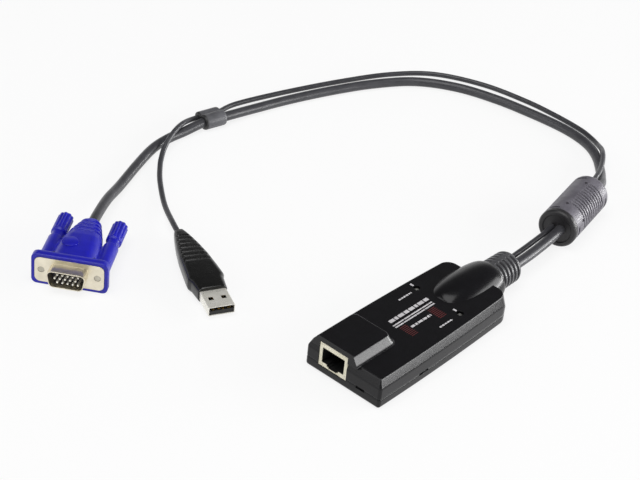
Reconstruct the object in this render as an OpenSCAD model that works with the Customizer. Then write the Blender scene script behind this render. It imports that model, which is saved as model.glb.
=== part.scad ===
// Adapter module for a keyboard, video and mouse switch. A small two-part housing has a network
// jack at its front, and two cables at its rear that share a ferrite and a clip and end in a
// 15-pin video plug and a USB plug. X runs along the housing from the jack to the cables, +Y is
// the side of the jack, and everything lies on the plane Z = 0.

/* [Housing] */
// Length of the two covers without the cable fairing
body_l = 90.6; // [86:0.2:100]
// Width of the covers at their widest
body_w = 40.8; // [39:0.2:48]
// Radius of the slight outward bow of the long sides
side_bow_r = 1400; // [1000:50:4000]
// Distance of the widest place from the front
widest_x = 17; // [8:1:40]
// Plan radius of the front corners
front_corner_r = 1.4; // [1:0.1:4]
// Plan radius of the rear corners
rear_corner_r = 7; // [4:0.5:12]
// Height of the flat top of the rear part
deck_z = 14.2; // [13.6:0.1:16]
// Height at which the upright wall turns into the sloping band
wall_z = 10.2; // [8:0.1:11]
// How far the sloping band leans in
bevel_in = 1.9; // [1:0.1:2.4]
// Height of the parting line of the covers
parting_z = 4.8; // [4.5:0.1:5.2]
// Wall of the covers
cover_t = 1.5; // [1.2:0.1:1.8]
// Rounding under the base
base_edge_r = 1.1; // [0.5:0.1:1.4]

/* [Jack block] */
// Rise of the block over the jack above the flat top
block_rise = 4.2; // [4:0.1:6]
// Length of the block's top from the front
block_l = 23.1; // [21:0.1:30]
// Width of the block's top
block_w = 19.6; // [19:0.1:21]
// Run of the block's sloping sides
block_run = 2.4; // [1.6:0.1:2.6]
// Corner radius at the block's rear
block_corner_r = 2.4; // [1:0.1:5]

/* [Cable fairing] */
// Largest radius of the fairing round the cables
fairing_r = 10; // [9.6:0.1:12]
// Width of the fairing against its height
fairing_wide = 1.15; // [1:0.05:1.3]
// Distance from the front at which the fairing leaves the flat top
fairing_x = 62.6; // [56:0.2:66]
// How far the fairing stands out behind the covers
fairing_out = 7.4; // [6:0.1:9]
// Height of the cables' common axis at the housing
boot_z = 8.2; // [8:0.1:9]

/* [Cable boot] */
// Length of the ribbed boot behind the fairing
boot_l = 15.6; // [12:0.1:20]
// Radius of the boot where it starts
boot_r = 7.85; // [7:0.05:8]
// Radius of the boot at its end
boot_end_r = 7.6; // [7:0.05:7.8]
// Grooves along the boot
boot_grooves = 4; // [2:1:5]
// Width of a groove
groove_w = 1.4; // [0.8:0.1:1.6]
// Depth of a groove
groove_deep = 1.2; // [0.5:0.1:1.4]
// Width of the smooth strips that cross the grooves
boot_strip_w = 2.6; // [1:0.1:4]

/* [Network jack] */
// Width of the jack's front
jack_w = 15.1; // [14.6:0.1:15.5]
// Height of the jack's front
jack_h = 11.9; // [11.6:0.1:12]
// Depth of the jack
jack_d = 16.4; // [15:0.1:18]
// Place of the jack's middle across the housing
jack_y = 5.8; // [4:0.1:7]
// Width of the plug opening
jack_open_w = 12; // [11.8:0.1:12.2]
// Height of the plug opening without the latch steps
jack_open_h = 7.6; // [7:0.1:7.8]
// Depth of the plug opening
jack_open_d = 13; // [11:0.1:13.2]
// Sheet thickness of the jack's shield
jack_sheet = 0.3; // [0.2:0.05:0.4]

/* [Board and lamps] */
// Thickness of the circuit board
board_t = 1.6; // [1:0.1:1.8]
// Height of the board above the inside of the base
board_lift = 1.1; // [1:0.1:1.4]
// Length of the board
board_l = 76; // [74:0.5:78]
// Gap between the board's long edges and the walls of the covers
board_side_gap = 2.6; // [2.4:0.1:3.4]
// Diameter of a lamp
lamp_d = 3; // [2:0.1:3.2]
// Distance of the lamps from the front
lamp_x = 61.4; // [58:0.2:64]
// Distance of each lamp from the middle
lamp_y = 12; // [11:0.1:12.4]

/* [Cables] */
// Diameter of the video cable
video_d = 4.8; // [4:0.1:5]
// Diameter of the USB cable
usb_d = 2.6; // [2:0.1:2.8]

/* [Ferrite] */
// Outer diameter of the ferrite's jacket
ferrite_d = 19; // [18.4:0.1:19.6]
// Length of the jacket
ferrite_l = 39.6; // [36:0.1:44]
// Outer diameter of the core
core_d = 15.2; // [13:0.1:15.6]
// Length of the core
core_l = 28.6; // [24:0.1:29]
// Bore of the core and the jacket
ferrite_bore_d = 8.3; // [8.1:0.1:8.8]

/* [Cable clip] */
// Length of the clip
clip_l = 12.6; // [8:0.1:16]
// Wall of the clip round each cable
clip_wall = 1.5; // [1:0.1:1.8]

/* [Video plug] */
// Width of the metal flange
flange_w = 30.8; // [30.6:0.1:31]
// Height of the metal flange
flange_h = 12.5; // [12.3:0.1:12.8]
// Distance between the two screws
screw_pitch = 25; // [24.9:0.05:25.1]
// Width of the shell that enters the socket
dshell_w = 16.9; // [16.7:0.1:17]
// Height of the shell that enters the socket
dshell_h = 8.3; // [8.2:0.1:8.4]
// How far the shell stands out of the flange
dshell_out = 5.9; // [5.6:0.1:6.1]
// Width of the hood's front rim
rim_w = 34; // [33.4:0.1:35]
// Height of the hood's front rim
rim_h = 15.6; // [14.6:0.1:16]
// Length of the hood from the flange to the cable
hood_l = 39; // [38:0.2:44]
// Radius of a thumb screw's fluted head
knob_r = 3.6; // [3.5:0.1:4.4]
// Length of the fluted head
knob_l = 13; // [10:0.2:15]
// Radius of the plain shank ahead of the head
shank_r = 2.9; // [2.7:0.1:3]
// How far a thumb screw can be pushed forward
screw_travel = 4; // [2:0.1:4]
// Radius of the screw
screw_r = 1.4; // [1.3:0.02:1.42]

/* [USB plug] */
// Width of the metal shell
usb_w = 12; // [11.9:0.1:12.1]
// Height of the metal shell
usb_h = 4.5; // [4.4:0.05:4.6]
// Length of the shell in front of the hood
usb_out = 12; // [11.75:0.05:12.4]
// Length of the hood
usb_hood_l = 47.5; // [44:0.5:56]
// Width of the hood at its shoulder
usb_hood_w = 16.8; // [15:0.1:18]
// Thickness of the hood at its shoulder
usb_hood_h = 8.4; // [7.6:0.1:9]

/* [Hidden] */

// Overrun of every cut, and the clearances between pieces that sit in each other
over = 0.5;
fit_gap = 0.1;
seat_gap = 0.05;
round_faces = 48;
small_faces = 24;

// Colours
shell_black = [0.05, 0.05, 0.055];
cable_grey = [0.30, 0.30, 0.32];
boot_grey = [0.34, 0.34, 0.36];
plug_blue = [0.06, 0.07, 0.62];
nickel = [0.78, 0.74, 0.64];
gold = [0.85, 0.66, 0.25];
board_green = [0.05, 0.30, 0.12];
chip_black = [0.10, 0.10, 0.11];
jack_cream = [0.88, 0.86, 0.78];

// Where the pieces along the housing lie: its front is ahead of the origin by half the length
fairing_end_x = body_l + fairing_out;
front_x = -(fairing_end_x + boot_l) / 2;
module in_housing() translate([front_x, 0, 0]) children();
// A cylinder that starts at the origin and runs along +X
module rod(l, r, faces = round_faces) rotate([0, 90, 0]) cylinder(h = l, r = r, $fn = faces);

// A closed skin over rings of as many points each, which turn anticlockwise as seen from ahead
module skin(rings) {
    n = len(rings[0]);
    m = len(rings);
    points = [for (ring = rings) for (p = ring) p];
    sides = [for (k = [0:m - 2]) for (i = [0:n - 1]) let (
        a = k * n + i, b = k * n + (i + 1) % n, c = a + n, d = b + n)
        each [[a, c, d], [a, d, b]]];
    ends = [[for (i = [0:n - 1]) i], [for (i = [n - 1:-1:0]) (m - 1) * n + i]];
    polyhedron(points, concat(ends, sides), convexity = 6);
}
function arc(cx, cy, r, a0, a1, n) =
    [for (i = [0:n]) let (a = a0 + (a1 - a0) * i / n) [cx + r * cos(a), cy + r * sin(a)]];
// A rounded rectangle about the origin, anticlockwise
function rounded(w, h, r, n) = concat(arc(w / 2 - r, h / 2 - r, r, 0, 90, n),
    arc(r - w / 2, h / 2 - r, r, 90, 180, n), arc(r - w / 2, r - h / 2, r, 180, 270, n),
    arc(w / 2 - r, r - h / 2, r, 270, 360, n));

// Outline of the covers, drawn in by an inset, and stacks of it by pairs of height and inset
least_r = 0.3;
corner_steps = 4;
rear_steps = 9;
side_steps = 8;
function half_at(x) = body_w / 2 - side_bow_r + sqrt(pow(side_bow_r, 2) - pow(x - widest_x, 2));
function side_xs(x0, x1) = [for (i = [1:side_steps - 1]) x0 + (x1 - x0) * i / side_steps];
function flip(list) = [for (i = [len(list) - 1:-1:0]) list[i]];
function plan(inset) = let (
    rf = max(front_corner_r - inset, least_r),
    rr = max(rear_corner_r - inset, least_r),
    xf = inset + rf,
    xr = body_l - inset - rr,
    yf = half_at(xf) - inset - rf,
    yr = half_at(xr) - inset - rr,
    xs = side_xs(xf, xr))
    concat(arc(xf, -yf, rf, 180, 270, corner_steps),
        [for (x = xs) [x, inset - half_at(x)]],
        arc(xr, -yr, rr, 270, 360, rear_steps),
        arc(xr, yr, rr, 0, 90, rear_steps),
        [for (x = flip(xs)) [x, half_at(x) - inset]],
        arc(xf, yf, rf, 90, 180, corner_steps));
module cover_stack(levels) skin([for (l = levels) [for (p = plan(l[1])) [p[0], p[1], l[0]]]]);
edge_soft = 0.35;
module top_outside() cover_stack([[parting_z, 0], [wall_z, 0],
    [deck_z - edge_soft, bevel_in], [deck_z, bevel_in + edge_soft]]);
module base_outside() cover_stack([[0, base_edge_r],
    [base_edge_r * (1 - cos(45)), base_edge_r * (1 - sin(45))], [base_edge_r, 0], [parting_z, 0]]);
module top_inside() cover_stack([[parting_z - over, cover_t], [wall_z - cover_t / 4, cover_t],
    [deck_z - cover_t, cover_t + bevel_in]]);
module base_inside() cover_stack([[cover_t, cover_t + base_edge_r / 2],
    [cover_t + base_edge_r / 2, cover_t], [parting_z + over, cover_t]]);

// The block over the jack, with sides that slope from the flat top up to its own top
block_top_z = deck_z + block_rise;
block_shift = -0.5;
block_y = jack_y + block_shift;
block_steps = 4;
function block_ring(grow, z, front) = let (
    x1 = block_l + grow, y0 = block_y - block_w / 2 - grow, y1 = block_y + block_w / 2 + grow,
    r = max(block_corner_r + grow / 2, least_r))
    [for (p = concat([[front, y0]], arc(x1 - r, y0 + r, r, 270, 360, block_steps),
        arc(x1 - r, y1 - r, r, 0, 90, block_steps), [[front, y1]])) [p[0], p[1], z]];
module block_outside() skin([block_ring(block_run, deck_z - edge_soft * 2, 0),
    block_ring(block_run, deck_z - edge_soft, 0), block_ring(0, block_top_z - edge_soft, 0),
    block_ring(-edge_soft, block_top_z, edge_soft)]);
module block_inside() skin([block_ring(-cover_t / 2, wall_z, cover_t),
    block_ring(-cover_t / 2, deck_z - cover_t, cover_t),
    block_ring(-cover_t, block_top_z - cover_t, cover_t)]);

// The fairing round the cables: a bulb about their axis that rises out of the flat top
fairing_steps = 18;
fairing_start_r = deck_z - boot_z - edge_soft;
fairing_neck_r = boot_r + seat_gap;
fairing_full_share = 0.55;
fairing_power = 2.4;
function fairing_radius(s) = s < fairing_full_share
    ? fairing_start_r + (fairing_r - fairing_start_r) * sqrt(1 - pow(1 - s / fairing_full_share, 2))
    : fairing_neck_r + (fairing_r - fairing_neck_r)
        * sqrt(max(1 - pow((s - fairing_full_share) / (1 - fairing_full_share), fairing_power), 0));
module fairing(inset, x1) scale([1, fairing_wide, 1]) translate([0, 0, boot_z]) rotate([0, 90, 0])
    rotate_extrude($fn = round_faces) polygon(concat([[0, fairing_x]],
        [for (i = [0:fairing_steps]) let (x = fairing_x + (x1 - fairing_x) * i / fairing_steps)
            [fairing_radius((x - fairing_x) / (fairing_end_x - fairing_x)) - inset, x]],
        [[0, x1]]));
module slab(z0, z1) translate([-over, -body_w, z0]) cube([body_l * 2, body_w * 2, z1 - z0]);

// The boot is held in the fairing's end wall by a neck and a flange inside
end_wall_t = 2;
neck_in = 1.7;
neck_r = boot_r - neck_in;
boot_flange_r = boot_z - cover_t - fit_gap;
boot_flange_t = 1.6;
module end_bore() translate([fairing_end_x - end_wall_t - over, 0, boot_z])
    rod(end_wall_t + over * 2, neck_r + seat_gap);
module fairing_hollow() fairing(cover_t, fairing_end_x - end_wall_t);

// Where the board and the jack sit
board_z = cover_t + board_lift;
board_top_z = board_z + board_t;
board_front_gap = 0.5;
board_w = body_w - (cover_t + board_side_gap) * 2;
board_x = cover_t + board_front_gap;
jack_x = 0.25;
module jack_room() translate([-over, jack_y - jack_w / 2 - fit_gap, board_top_z - fit_gap])
    cube([jack_x + jack_d + fit_gap + over, jack_w + fit_gap * 2, jack_h + fit_gap * 2]);

// Prying notches at the parting line, half in each cover
notch_w = 4.6;
notch_h = 1.2;
notch_deep = 0.7;
front_notch_y = -9.7;
side_notch_x = 28.5;
side_notch_w = 6;
module notches() {
    z = parting_z - notch_h / 2;
    translate([-over, front_notch_y - notch_w / 2, z]) cube([notch_deep + over, notch_w, notch_h]);
    for (side = [-1, 1]) scale([1, side, 1])
        translate([side_notch_x - side_notch_w / 2, half_at(side_notch_x) - notch_deep, z])
            cube([side_notch_w, notch_deep + over, notch_h]);
}

// Snap tabs of the base, which spring into pockets of the top
snap_shares = [0.42, 0.72];
snap_w = 5;
snap_h = 3;
snap_t = 1;
snap_gap = 0.2;
hook_h = 1;
hook_out = 0.5;
module snap_hooks(grow) for (share = snap_shares) for (side = [-1, 1])
    scale([1, side, 1]) translate([body_l * share, half_at(body_l * share) - cover_t - snap_gap, 0])
        translate([-snap_w / 2 - grow, -snap_t / 2, parting_z + snap_h - hook_h - grow])
            cube([snap_w + grow * 2, snap_t / 2 + hook_out + grow, hook_h + grow * 2]);
module snap_tabs() for (share = snap_shares) for (side = [-1, 1])
    scale([1, side, 1]) translate([body_l * share, half_at(body_l * share) - cover_t - snap_gap, 0])
        translate([-snap_w / 2, -snap_t, cover_t / 2])
            cube([snap_w, snap_t, parting_z + snap_h - cover_t / 2]);

// Posts under the board and the screws that hold it
post_r = 2.6;
post_shares = [[0.34, -0.38], [0.68, 0.38]];
board_screw_r = 1;
screw_head_r = 1.9;
screw_head_h = 1.2;
module at_posts() for (p = post_shares) translate([board_l * p[0], board_w * p[1], 0]) children();

// Lamps
lamp_hole_r = lamp_d / 2 + fit_gap;
lamp_drop = 0.35;
lamp_body_l = 5.3;
lamp_foot_out = 0.35;
lamp_foot_r = lamp_d / 2 + lamp_foot_out;
lead_r = 0.25;
lead_pitch = 2.54;
lamp_top_z = deck_z - lamp_drop;
lamp_foot_z = lamp_top_z - lamp_body_l;
module lamp_leads(grow) for (side = [-1, 1]) translate([0, side * lead_pitch / 2, board_z - fit_gap])
    cylinder(h = lamp_foot_z - board_z + fit_gap + seat_gap, r = lead_r + grow, $fn = small_faces);
module lamp(side) in_housing() translate([lamp_x, side * lamp_y, 0]) {
    translate([0, 0, lamp_foot_z]) cylinder(h = lead_pitch / 3, r = lamp_foot_r, $fn = round_faces);
    translate([0, 0, lamp_foot_z])
        cylinder(h = lamp_body_l - lamp_d / 2, r = lamp_d / 2 - seat_gap, $fn = round_faces);
    translate([0, 0, lamp_top_z - lamp_d / 2]) sphere(r = lamp_d / 2 - seat_gap, $fn = round_faces);
    lamp_leads(0);
}

module top_cover() color(shell_black) in_housing() difference() {
    union() {
        top_outside();
        block_outside();
        intersection() {
            fairing(0, fairing_end_x);
            slab(parting_z, block_top_z * 2);
        }
    }
    top_inside();
    block_inside();
    intersection() {
        fairing_hollow();
        slab(parting_z - over, block_top_z * 2);
    }
    end_bore();
    jack_room();
    notches();
    snap_hooks(fit_gap);
    for (side = [-1, 1]) translate([lamp_x, side * lamp_y, deck_z - cover_t - over])
        cylinder(h = cover_t + over * 2, r = lamp_hole_r, $fn = round_faces);
}
module bottom_cover() color(shell_black) in_housing() {
    difference() {
        union() {
            base_outside();
            intersection() {
                fairing(0, fairing_end_x);
                slab(0, parting_z);
            }
        }
        base_inside();
        intersection() {
            fairing_hollow();
            slab(cover_t, parting_z + over);
        }
        end_bore();
        jack_room();
        notches();
    }
    snap_tabs();
    snap_hooks(0);
    difference() {
        at_posts() translate([0, 0, cover_t / 2])
            cylinder(h = board_z - cover_t / 2, r = post_r, $fn = round_faces);
        at_posts() translate([0, 0, cover_t])
            cylinder(h = board_z, r = board_screw_r + seat_gap, $fn = round_faces);
    }
}

// Circuit board and what is on it
module circuit_board() color(board_green) in_housing() difference() {
    translate([board_x, -board_w / 2, board_z]) cube([board_l, board_w, board_t]);
    at_posts() translate([0, 0, board_z - over])
        cylinder(h = board_t + over * 2, r = board_screw_r + seat_gap, $fn = round_faces);
    for (side = [-1, 1]) translate([lamp_x, side * lamp_y, 0]) lamp_leads(seat_gap);
}
module board_screws() color(nickel) in_housing() at_posts() {
    translate([0, 0, board_top_z]) difference() {
        cylinder(h = screw_head_h, r = screw_head_r, $fn = round_faces);
        for (turn = [0, 90]) rotate([0, 0, turn]) translate([-screw_head_r / 2, -lead_r, screw_head_h / 2])
            cube([screw_head_r, lead_r * 2, screw_head_h]);
    }
    translate([0, 0, cover_t + fit_gap])
        cylinder(h = board_top_z + seat_gap - cover_t, r = board_screw_r, $fn = round_faces);
}
// A chip of the given size with legs along two or four sides
leg_w = 0.4;
leg_out = 0.9;
leg_t = 0.2;
module chip(w, d, h, legs, rows) {
    translate([-w / 2, -d / 2, leg_t / 2]) cube([w, d, h]);
    for (turn = rows) rotate([0, 0, turn]) for (i = [0:legs - 1]) {
        reach = turn % 180 == 0 ? d : w;
        span = turn % 180 == 0 ? w : d;
        translate([(i + 0.5 - legs / 2) * span / (legs + 1) - leg_w / 2, -reach / 2 - leg_out, 0])
            cube([leg_w, leg_out + over, leg_t]);
    }
}
controller_size = [10, 10, 1.4];
video_size = [7.6, 5.4, 1.5];
controller_legs = 8;
video_legs = 5;
controller_shares = [0.42, -0.06];
video_shares = [0.63, 0.02];
module on_board(shares) in_housing()
    translate([board_x + board_l * shares[0], board_w * shares[1], board_top_z]) children();
module controller_chip() color(chip_black) on_board(controller_shares)
    chip(controller_size[0], controller_size[1], controller_size[2], controller_legs, [0, 90, 180, 270]);
module video_chip() color(chip_black) on_board(video_shares)
    chip(video_size[0], video_size[1], video_size[2], video_legs, [0, 180]);
crystal_l = 10.6;
crystal_w = 4.4;
crystal_h = 3.4;
crystal_rim = 0.4;
crystal_steps = 6;
crystal_shares = [0.40, 0.31];
module crystal_oscillator() color(nickel) on_board(crystal_shares) {
    linear_extrude(crystal_h) polygon(rounded(crystal_l - crystal_rim * 2, crystal_w - crystal_rim * 2,
        crystal_w / 2 - crystal_rim - seat_gap, crystal_steps));
    linear_extrude(leg_w) polygon(rounded(crystal_l, crystal_w, crystal_w / 2 - seat_gap, crystal_steps));
}
capacitor_r = 2;
capacitor_h = 5.2;
capacitor_shares = [[0.53, 0.33], [0.60, 0.33], [0.55, -0.36]];
module board_capacitors() color(nickel) for (s = capacitor_shares) on_board(s) {
    cylinder(h = capacitor_h, r = capacitor_r, $fn = round_faces);
    translate([-capacitor_r, -capacitor_r, 0]) cube([capacitor_r * 2, capacitor_r * 2, leg_out]);
}

// Network jack: moulding, sheet shield round it, and eight sprung contacts
jack_band = 1.9;
latch_w = 6.2;
latch_low_w = 4.4;
latch_deep = 0.9;
latch_low_deep = 0.5;
jack_open_z = board_top_z + jack_band;
module jack_opening(l) {
    translate([0, jack_y - jack_open_w / 2, jack_open_z]) cube([l, jack_open_w, jack_open_h]);
    translate([0, jack_y - latch_w / 2, jack_open_z - latch_deep]) cube([l, latch_w, latch_deep * 2]);
    translate([0, jack_y - latch_low_w / 2, jack_open_z - latch_deep - latch_low_deep])
        cube([l, latch_low_w, latch_deep * 2]);
}
contact_w = 0.46;
contact_t = 0.3;
contact_pitch = 1.02;
contact_count = 8;
contact_rise = 2.2;
jack_roof_z = jack_open_z + jack_open_h;
contact_run = 1;
contact_back_x = jack_x + jack_open_d - contact_run;
module rj45_housing() color(chip_black) in_housing() difference() {
    translate([jack_x + jack_sheet, jack_y - jack_w / 2 + jack_sheet + seat_gap, board_top_z + fit_gap])
        cube([jack_d - jack_sheet * 2, jack_w - (jack_sheet + seat_gap) * 2,
            jack_h - jack_sheet - fit_gap - seat_gap]);
    translate([jack_x, 0, 0]) jack_opening(jack_open_d);
    for (i = [0:contact_count - 1])
        translate([contact_back_x - contact_run, jack_y + (i + 0.5 - contact_count / 2) * contact_pitch
            - contact_w / 2 - seat_gap, jack_roof_z - contact_t - contact_rise / 4])
            cube([contact_run * 2.4, contact_w + seat_gap * 2, contact_t * 2 + contact_rise / 4]);
}
module rj45_shield() color(jack_cream) in_housing() difference() {
    translate([jack_x, jack_y - jack_w / 2, board_top_z]) cube([jack_d, jack_w, jack_h]);
    translate([jack_x + jack_sheet - seat_gap, jack_y - jack_w / 2 + jack_sheet, board_top_z - over])
        cube([jack_d - jack_sheet * 2 + seat_gap * 2, jack_w - jack_sheet * 2, jack_h - jack_sheet + over]);
    translate([jack_x - over, 0, 0]) jack_opening(jack_open_d / 2);
}
// One contact is a strip that leaves the roof at the back and slopes down towards the front
module rj45_contacts() color(gold) in_housing() for (i = [0:contact_count - 1])
    translate([0, jack_y + (i + 0.5 - contact_count / 2) * contact_pitch + contact_w / 2, 0])
        rotate([90, 0, 0]) linear_extrude(contact_w) polygon([
            [contact_back_x + contact_run, jack_roof_z - fit_gap],
            [contact_back_x + contact_run, jack_roof_z - fit_gap - contact_t],
            [contact_back_x - contact_run, jack_roof_z - fit_gap - contact_t],
            [jack_x + jack_open_d / 3, jack_roof_z - contact_rise - contact_t],
            [jack_x + jack_open_d / 3, jack_roof_z - contact_rise],
            [contact_back_x - contact_run, jack_roof_z - fit_gap]]);

module online_led() color(nickel) lamp(1);
module power_led() color(nickel) lamp(-1);

// Headers near the board's rear, and the leads that run to them from the two cables
video_pins = 6;
usb_pins = 4;
header_pitch = 2;
header_d = 4.2;
header_h = 5;
header_wall = 0.8;
video_header_y = -5.6;
usb_header_y = 6.6;
header_x = 70;
module header(y, pins) in_housing() translate([header_x, y, board_top_z]) difference() {
    w = (pins + 1) * header_pitch;
    translate([-header_d / 2, -w / 2, 0]) cube([header_d, w, header_h]);
    translate([-header_d / 2 + header_wall, header_wall - w / 2, header_wall])
        cube([header_d, w - header_wall * 2, header_h - header_wall * 2]);
}
module video_header() color(jack_cream) header(video_header_y, video_pins);
module usb_header() color(jack_cream) header(usb_header_y, usb_pins);

// Cables: smooth curves through the points of a route, with square ends
cable_in_x = 6.4;
video_side = -1.8;
usb_side = 2.9;
function smooth(a, b, c, d, t) = ((d - a + (b - c) * 3) * pow(t, 3)
    + (a * 2 - b * 5 + c * 4 - d) * pow(t, 2) + (c - a) * t + b * 2) / 2;
function on_route(p, s) = let (n = len(p), k = min(floor(s), n - 2))
    smooth(p[max(k - 1, 0)], p[k], p[k + 1], p[min(k + 2, n - 1)], s - k);
function smoothed(p, rings) = [for (i = [0:rings - 1]) on_route(p, (len(p) - 1) * i / (rings - 1))];
function unit(v) = v / norm(v);
module tube(route, rings, r, sides) {
    path = smoothed(route, rings);
    n = len(path);
    skin([for (k = [0:n - 1]) let (
        along = unit(path[min(k + 1, n - 1)] - path[max(k - 1, 0)]),
        across = unit(cross(along, [0, 0, 1])),
        up = cross(across, along))
        [for (i = [0:sides - 1]) let (a = 360 * (i + 0.5) / sides)
            path[k] + (across * cos(a) + up * sin(a)) * r]]);
}
video_sides = 10;
usb_sides = 8;
video_rings = 38;
usb_rings = 42;
// The ferrite and the clip, each by its middle and its turn in plan
ferrite_at = [114.5, 5.9, ferrite_d / 2];
ferrite_turn = 11.5;
ferrite_video_side = -1.55;
ferrite_usb_side = 2.65;
clip_turn = -13;
clip_sep = 5.4;
clip_gap = 0.25;
clip_video_r = video_d / 2 + clip_wall;
clip_usb_r = usb_d / 2 + clip_wall;
clip_at = [49, 181, clip_video_r];
// A place beside an axis, given by its middle, its turn, and the distances along it and across
function beside(at, turn, along, across) =
    at + [along * cos(turn) - across * sin(turn), along * sin(turn) + across * cos(turn), 0];
// The plugs, each by the middle of its front and the turn of its backward direction
video_plug_at = [-95.3, 124.1, rim_h / 2];
video_plug_turn = 33;
usb_plug_at = [-60.6, 65.6, usb_hood_h / 2];
usb_plug_turn = 63.6;
hood_grip = 5;
video_z = 2.5;
usb_z = 1.5;
// Where the cables lie straight: behind the boot, in the ferrite and clip, and at the plugs
lead_out = 18;
lead_sway = 0.4;
lead_rise = 0.5;
video_lead_in = 6;
usb_lead_in = 8;
ferrite_route_shares = [-0.52, 0, 0.52];
clip_route_shares = [0.5, 0, -0.5];
boot_end_x = front_x + fairing_end_x + boot_l;
video_route = concat(
    [[boot_end_x - boot_l - cable_in_x, video_side, boot_z], [boot_end_x - boot_l / 2, video_side, boot_z],
        [boot_end_x, video_side, boot_z],
        [boot_end_x + lead_out, video_side + lead_sway, boot_z + lead_rise]],
    [for (share = ferrite_route_shares)
        beside(ferrite_at, ferrite_turn, ferrite_l * share, ferrite_video_side)],
    [[147, 12.7, 6.9], [155, 17.5, 4.4], [163.5, 23.7, 2.7], [171.5, 31.2, video_z],
        [177.3, 39.5, video_z], [180.7, 49.5, video_z], [181.9, 62, video_z],
        [180.8, 80, video_z], [178, 100, video_z],
        [171.5, 121, video_z], [159, 139, video_z], [140, 151.5, video_z], [118, 161, video_z],
        [94, 169, video_z], [72, 174, 3]],
    [for (share = clip_route_shares) beside(clip_at, clip_turn, clip_l * share, -clip_sep / 2)],
    [[31, 181, 2.8], [20, 181.7, video_z], [8, 179.9, video_z], [-8, 174, video_z],
        [-27, 165.5, 3.2], [-42, 158, 5.8]],
    [for (l = [hood_l + video_lead_in, hood_l - hood_grip]) beside(video_plug_at, video_plug_turn, l, 0)]);
usb_route = concat(
    [[boot_end_x - boot_l - cable_in_x, usb_side, boot_z], [boot_end_x - boot_l / 2, usb_side, boot_z],
        [boot_end_x, usb_side, boot_z],
        [boot_end_x + lead_out, usb_side + lead_sway, boot_z + lead_rise]],
    [for (share = ferrite_route_shares)
        beside(ferrite_at, ferrite_turn, ferrite_l * share, ferrite_usb_side)],
    [[148, 16.4, 8.9], [157, 20, 7.7], [165, 24.2, 7], [171.5, 28.4, 6.4], [177.4, 32.9, 4.6],
        [182.6, 38.4, 2.4], [186.6, 45, usb_z], [189.2, 54, usb_z], [190.6, 70, usb_z],
        [190.3, 90, usb_z],
        [186, 115, usb_z], [174.5, 138.5, usb_z], [156, 153.5, usb_z], [130, 165.5, usb_z],
        [98, 177, usb_z], [70, 183.3, 2.6]],
    [for (share = clip_route_shares) beside(clip_at, clip_turn, clip_l * share, clip_sep / 2)],
    [[36.8, 184.3, 5.2], [31, 182.7, 6.5], [25.2, 180.7, 7], [19.9, 178.8, 6.5],
        [15, 177, 5], [10.6, 174.9, 3.2], [6.4, 172, 2], [1.5, 167.8, usb_z],
        [-8, 158, usb_z], [-20, 142.5, usb_z]],
    [for (l = [usb_out + usb_hood_l + usb_lead_in, usb_out + usb_hood_l - hood_grip])
        beside(usb_plug_at, usb_plug_turn, l, 0)]);
module vga_cable() color(cable_grey) tube(video_route, video_rings, video_d / 2, video_sides);
module usb_cable() color(cable_grey) tube(usb_route, usb_rings, usb_d / 2, usb_sides);

// Leads from the cables' ends to the headers, which enter each cable in two staggered rows
wire_r = 0.4;
wire_sides = 6;
wire_rings = 7;
wire_row_share = 0.45;
wire_step_share = 0.34;
cable_start_x = boot_end_x - boot_l - cable_in_x;
module leads(y, pins, side, cable_r) for (i = [0:pins - 1]) {
    row = i + 0.5 - pins / 2;
    from_y = y + row * header_pitch;
    to_y = side + row * cable_r * wire_step_share;
    to_z = boot_z + (i % 2 - 0.5) * 2 * cable_r * wire_row_share;
    header_back_x = front_x + header_x + header_d / 2;
    tube([[header_back_x - header_d + header_wall * 2, from_y, board_top_z + header_h / 2],
        [header_back_x + header_d / 2, from_y, board_top_z + header_h / 2],
        [cable_start_x - header_d, to_y, to_z],
        [cable_start_x - seat_gap, to_y, to_z]], wire_rings, wire_r, wire_sides);
}
module lead_wires() color(plug_blue) {
    leads(video_header_y, video_pins, video_side, video_d / 2);
    leads(usb_header_y, usb_pins, usb_side, usb_d / 2);
}

// Boot with grooves that smooth strips cross
boot_tip_r = 2.6;
plain_pitches = 1.4;
groove_pitch = boot_l / (boot_grooves + plain_pitches);
module boot_body() translate([fairing_end_x + seat_gap, 0, boot_z]) rotate([0, 90, 0])
    rotate_extrude($fn = round_faces) polygon(concat([[0, 0], [boot_r, 0]],
        [for (a = [0:30:90]) [boot_end_r - boot_tip_r * (1 - cos(a)),
            boot_l - seat_gap - boot_tip_r * (1 - sin(a))]], [[0, boot_l - seat_gap]]));
module cable_boot() color(boot_grey) in_housing() difference() {
    union() {
        difference() {
            boot_body();
            for (i = [1:boot_grooves]) translate([fairing_end_x + groove_pitch * i, 0, boot_z])
                difference() {
                    rod(groove_w, boot_r + over);
                    translate([-over, 0, 0]) rod(groove_w + over * 2,
                        boot_r - (boot_r - boot_end_r) * i / (boot_grooves + 1) - groove_deep);
                    for (turn = [0, 90]) rotate([turn, 0, 0])
                        translate([-over, -boot_r * 2, -boot_strip_w / 2])
                            cube([groove_w + over * 2, boot_r * 4, boot_strip_w]);
                }
        }
        translate([fairing_end_x - end_wall_t - boot_flange_t, 0, boot_z])
            rod(end_wall_t + boot_flange_t + over, neck_r);
        translate([fairing_end_x - end_wall_t - boot_flange_t - seat_gap, 0, boot_z])
            rod(boot_flange_t, boot_flange_r);
    }
    translate([fairing_end_x - body_l / 4, video_side, boot_z]) rod(body_l, video_d / 2 + seat_gap);
    translate([fairing_end_x - body_l / 4, usb_side, boot_z]) rod(body_l, usb_d / 2 + seat_gap);
}

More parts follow.
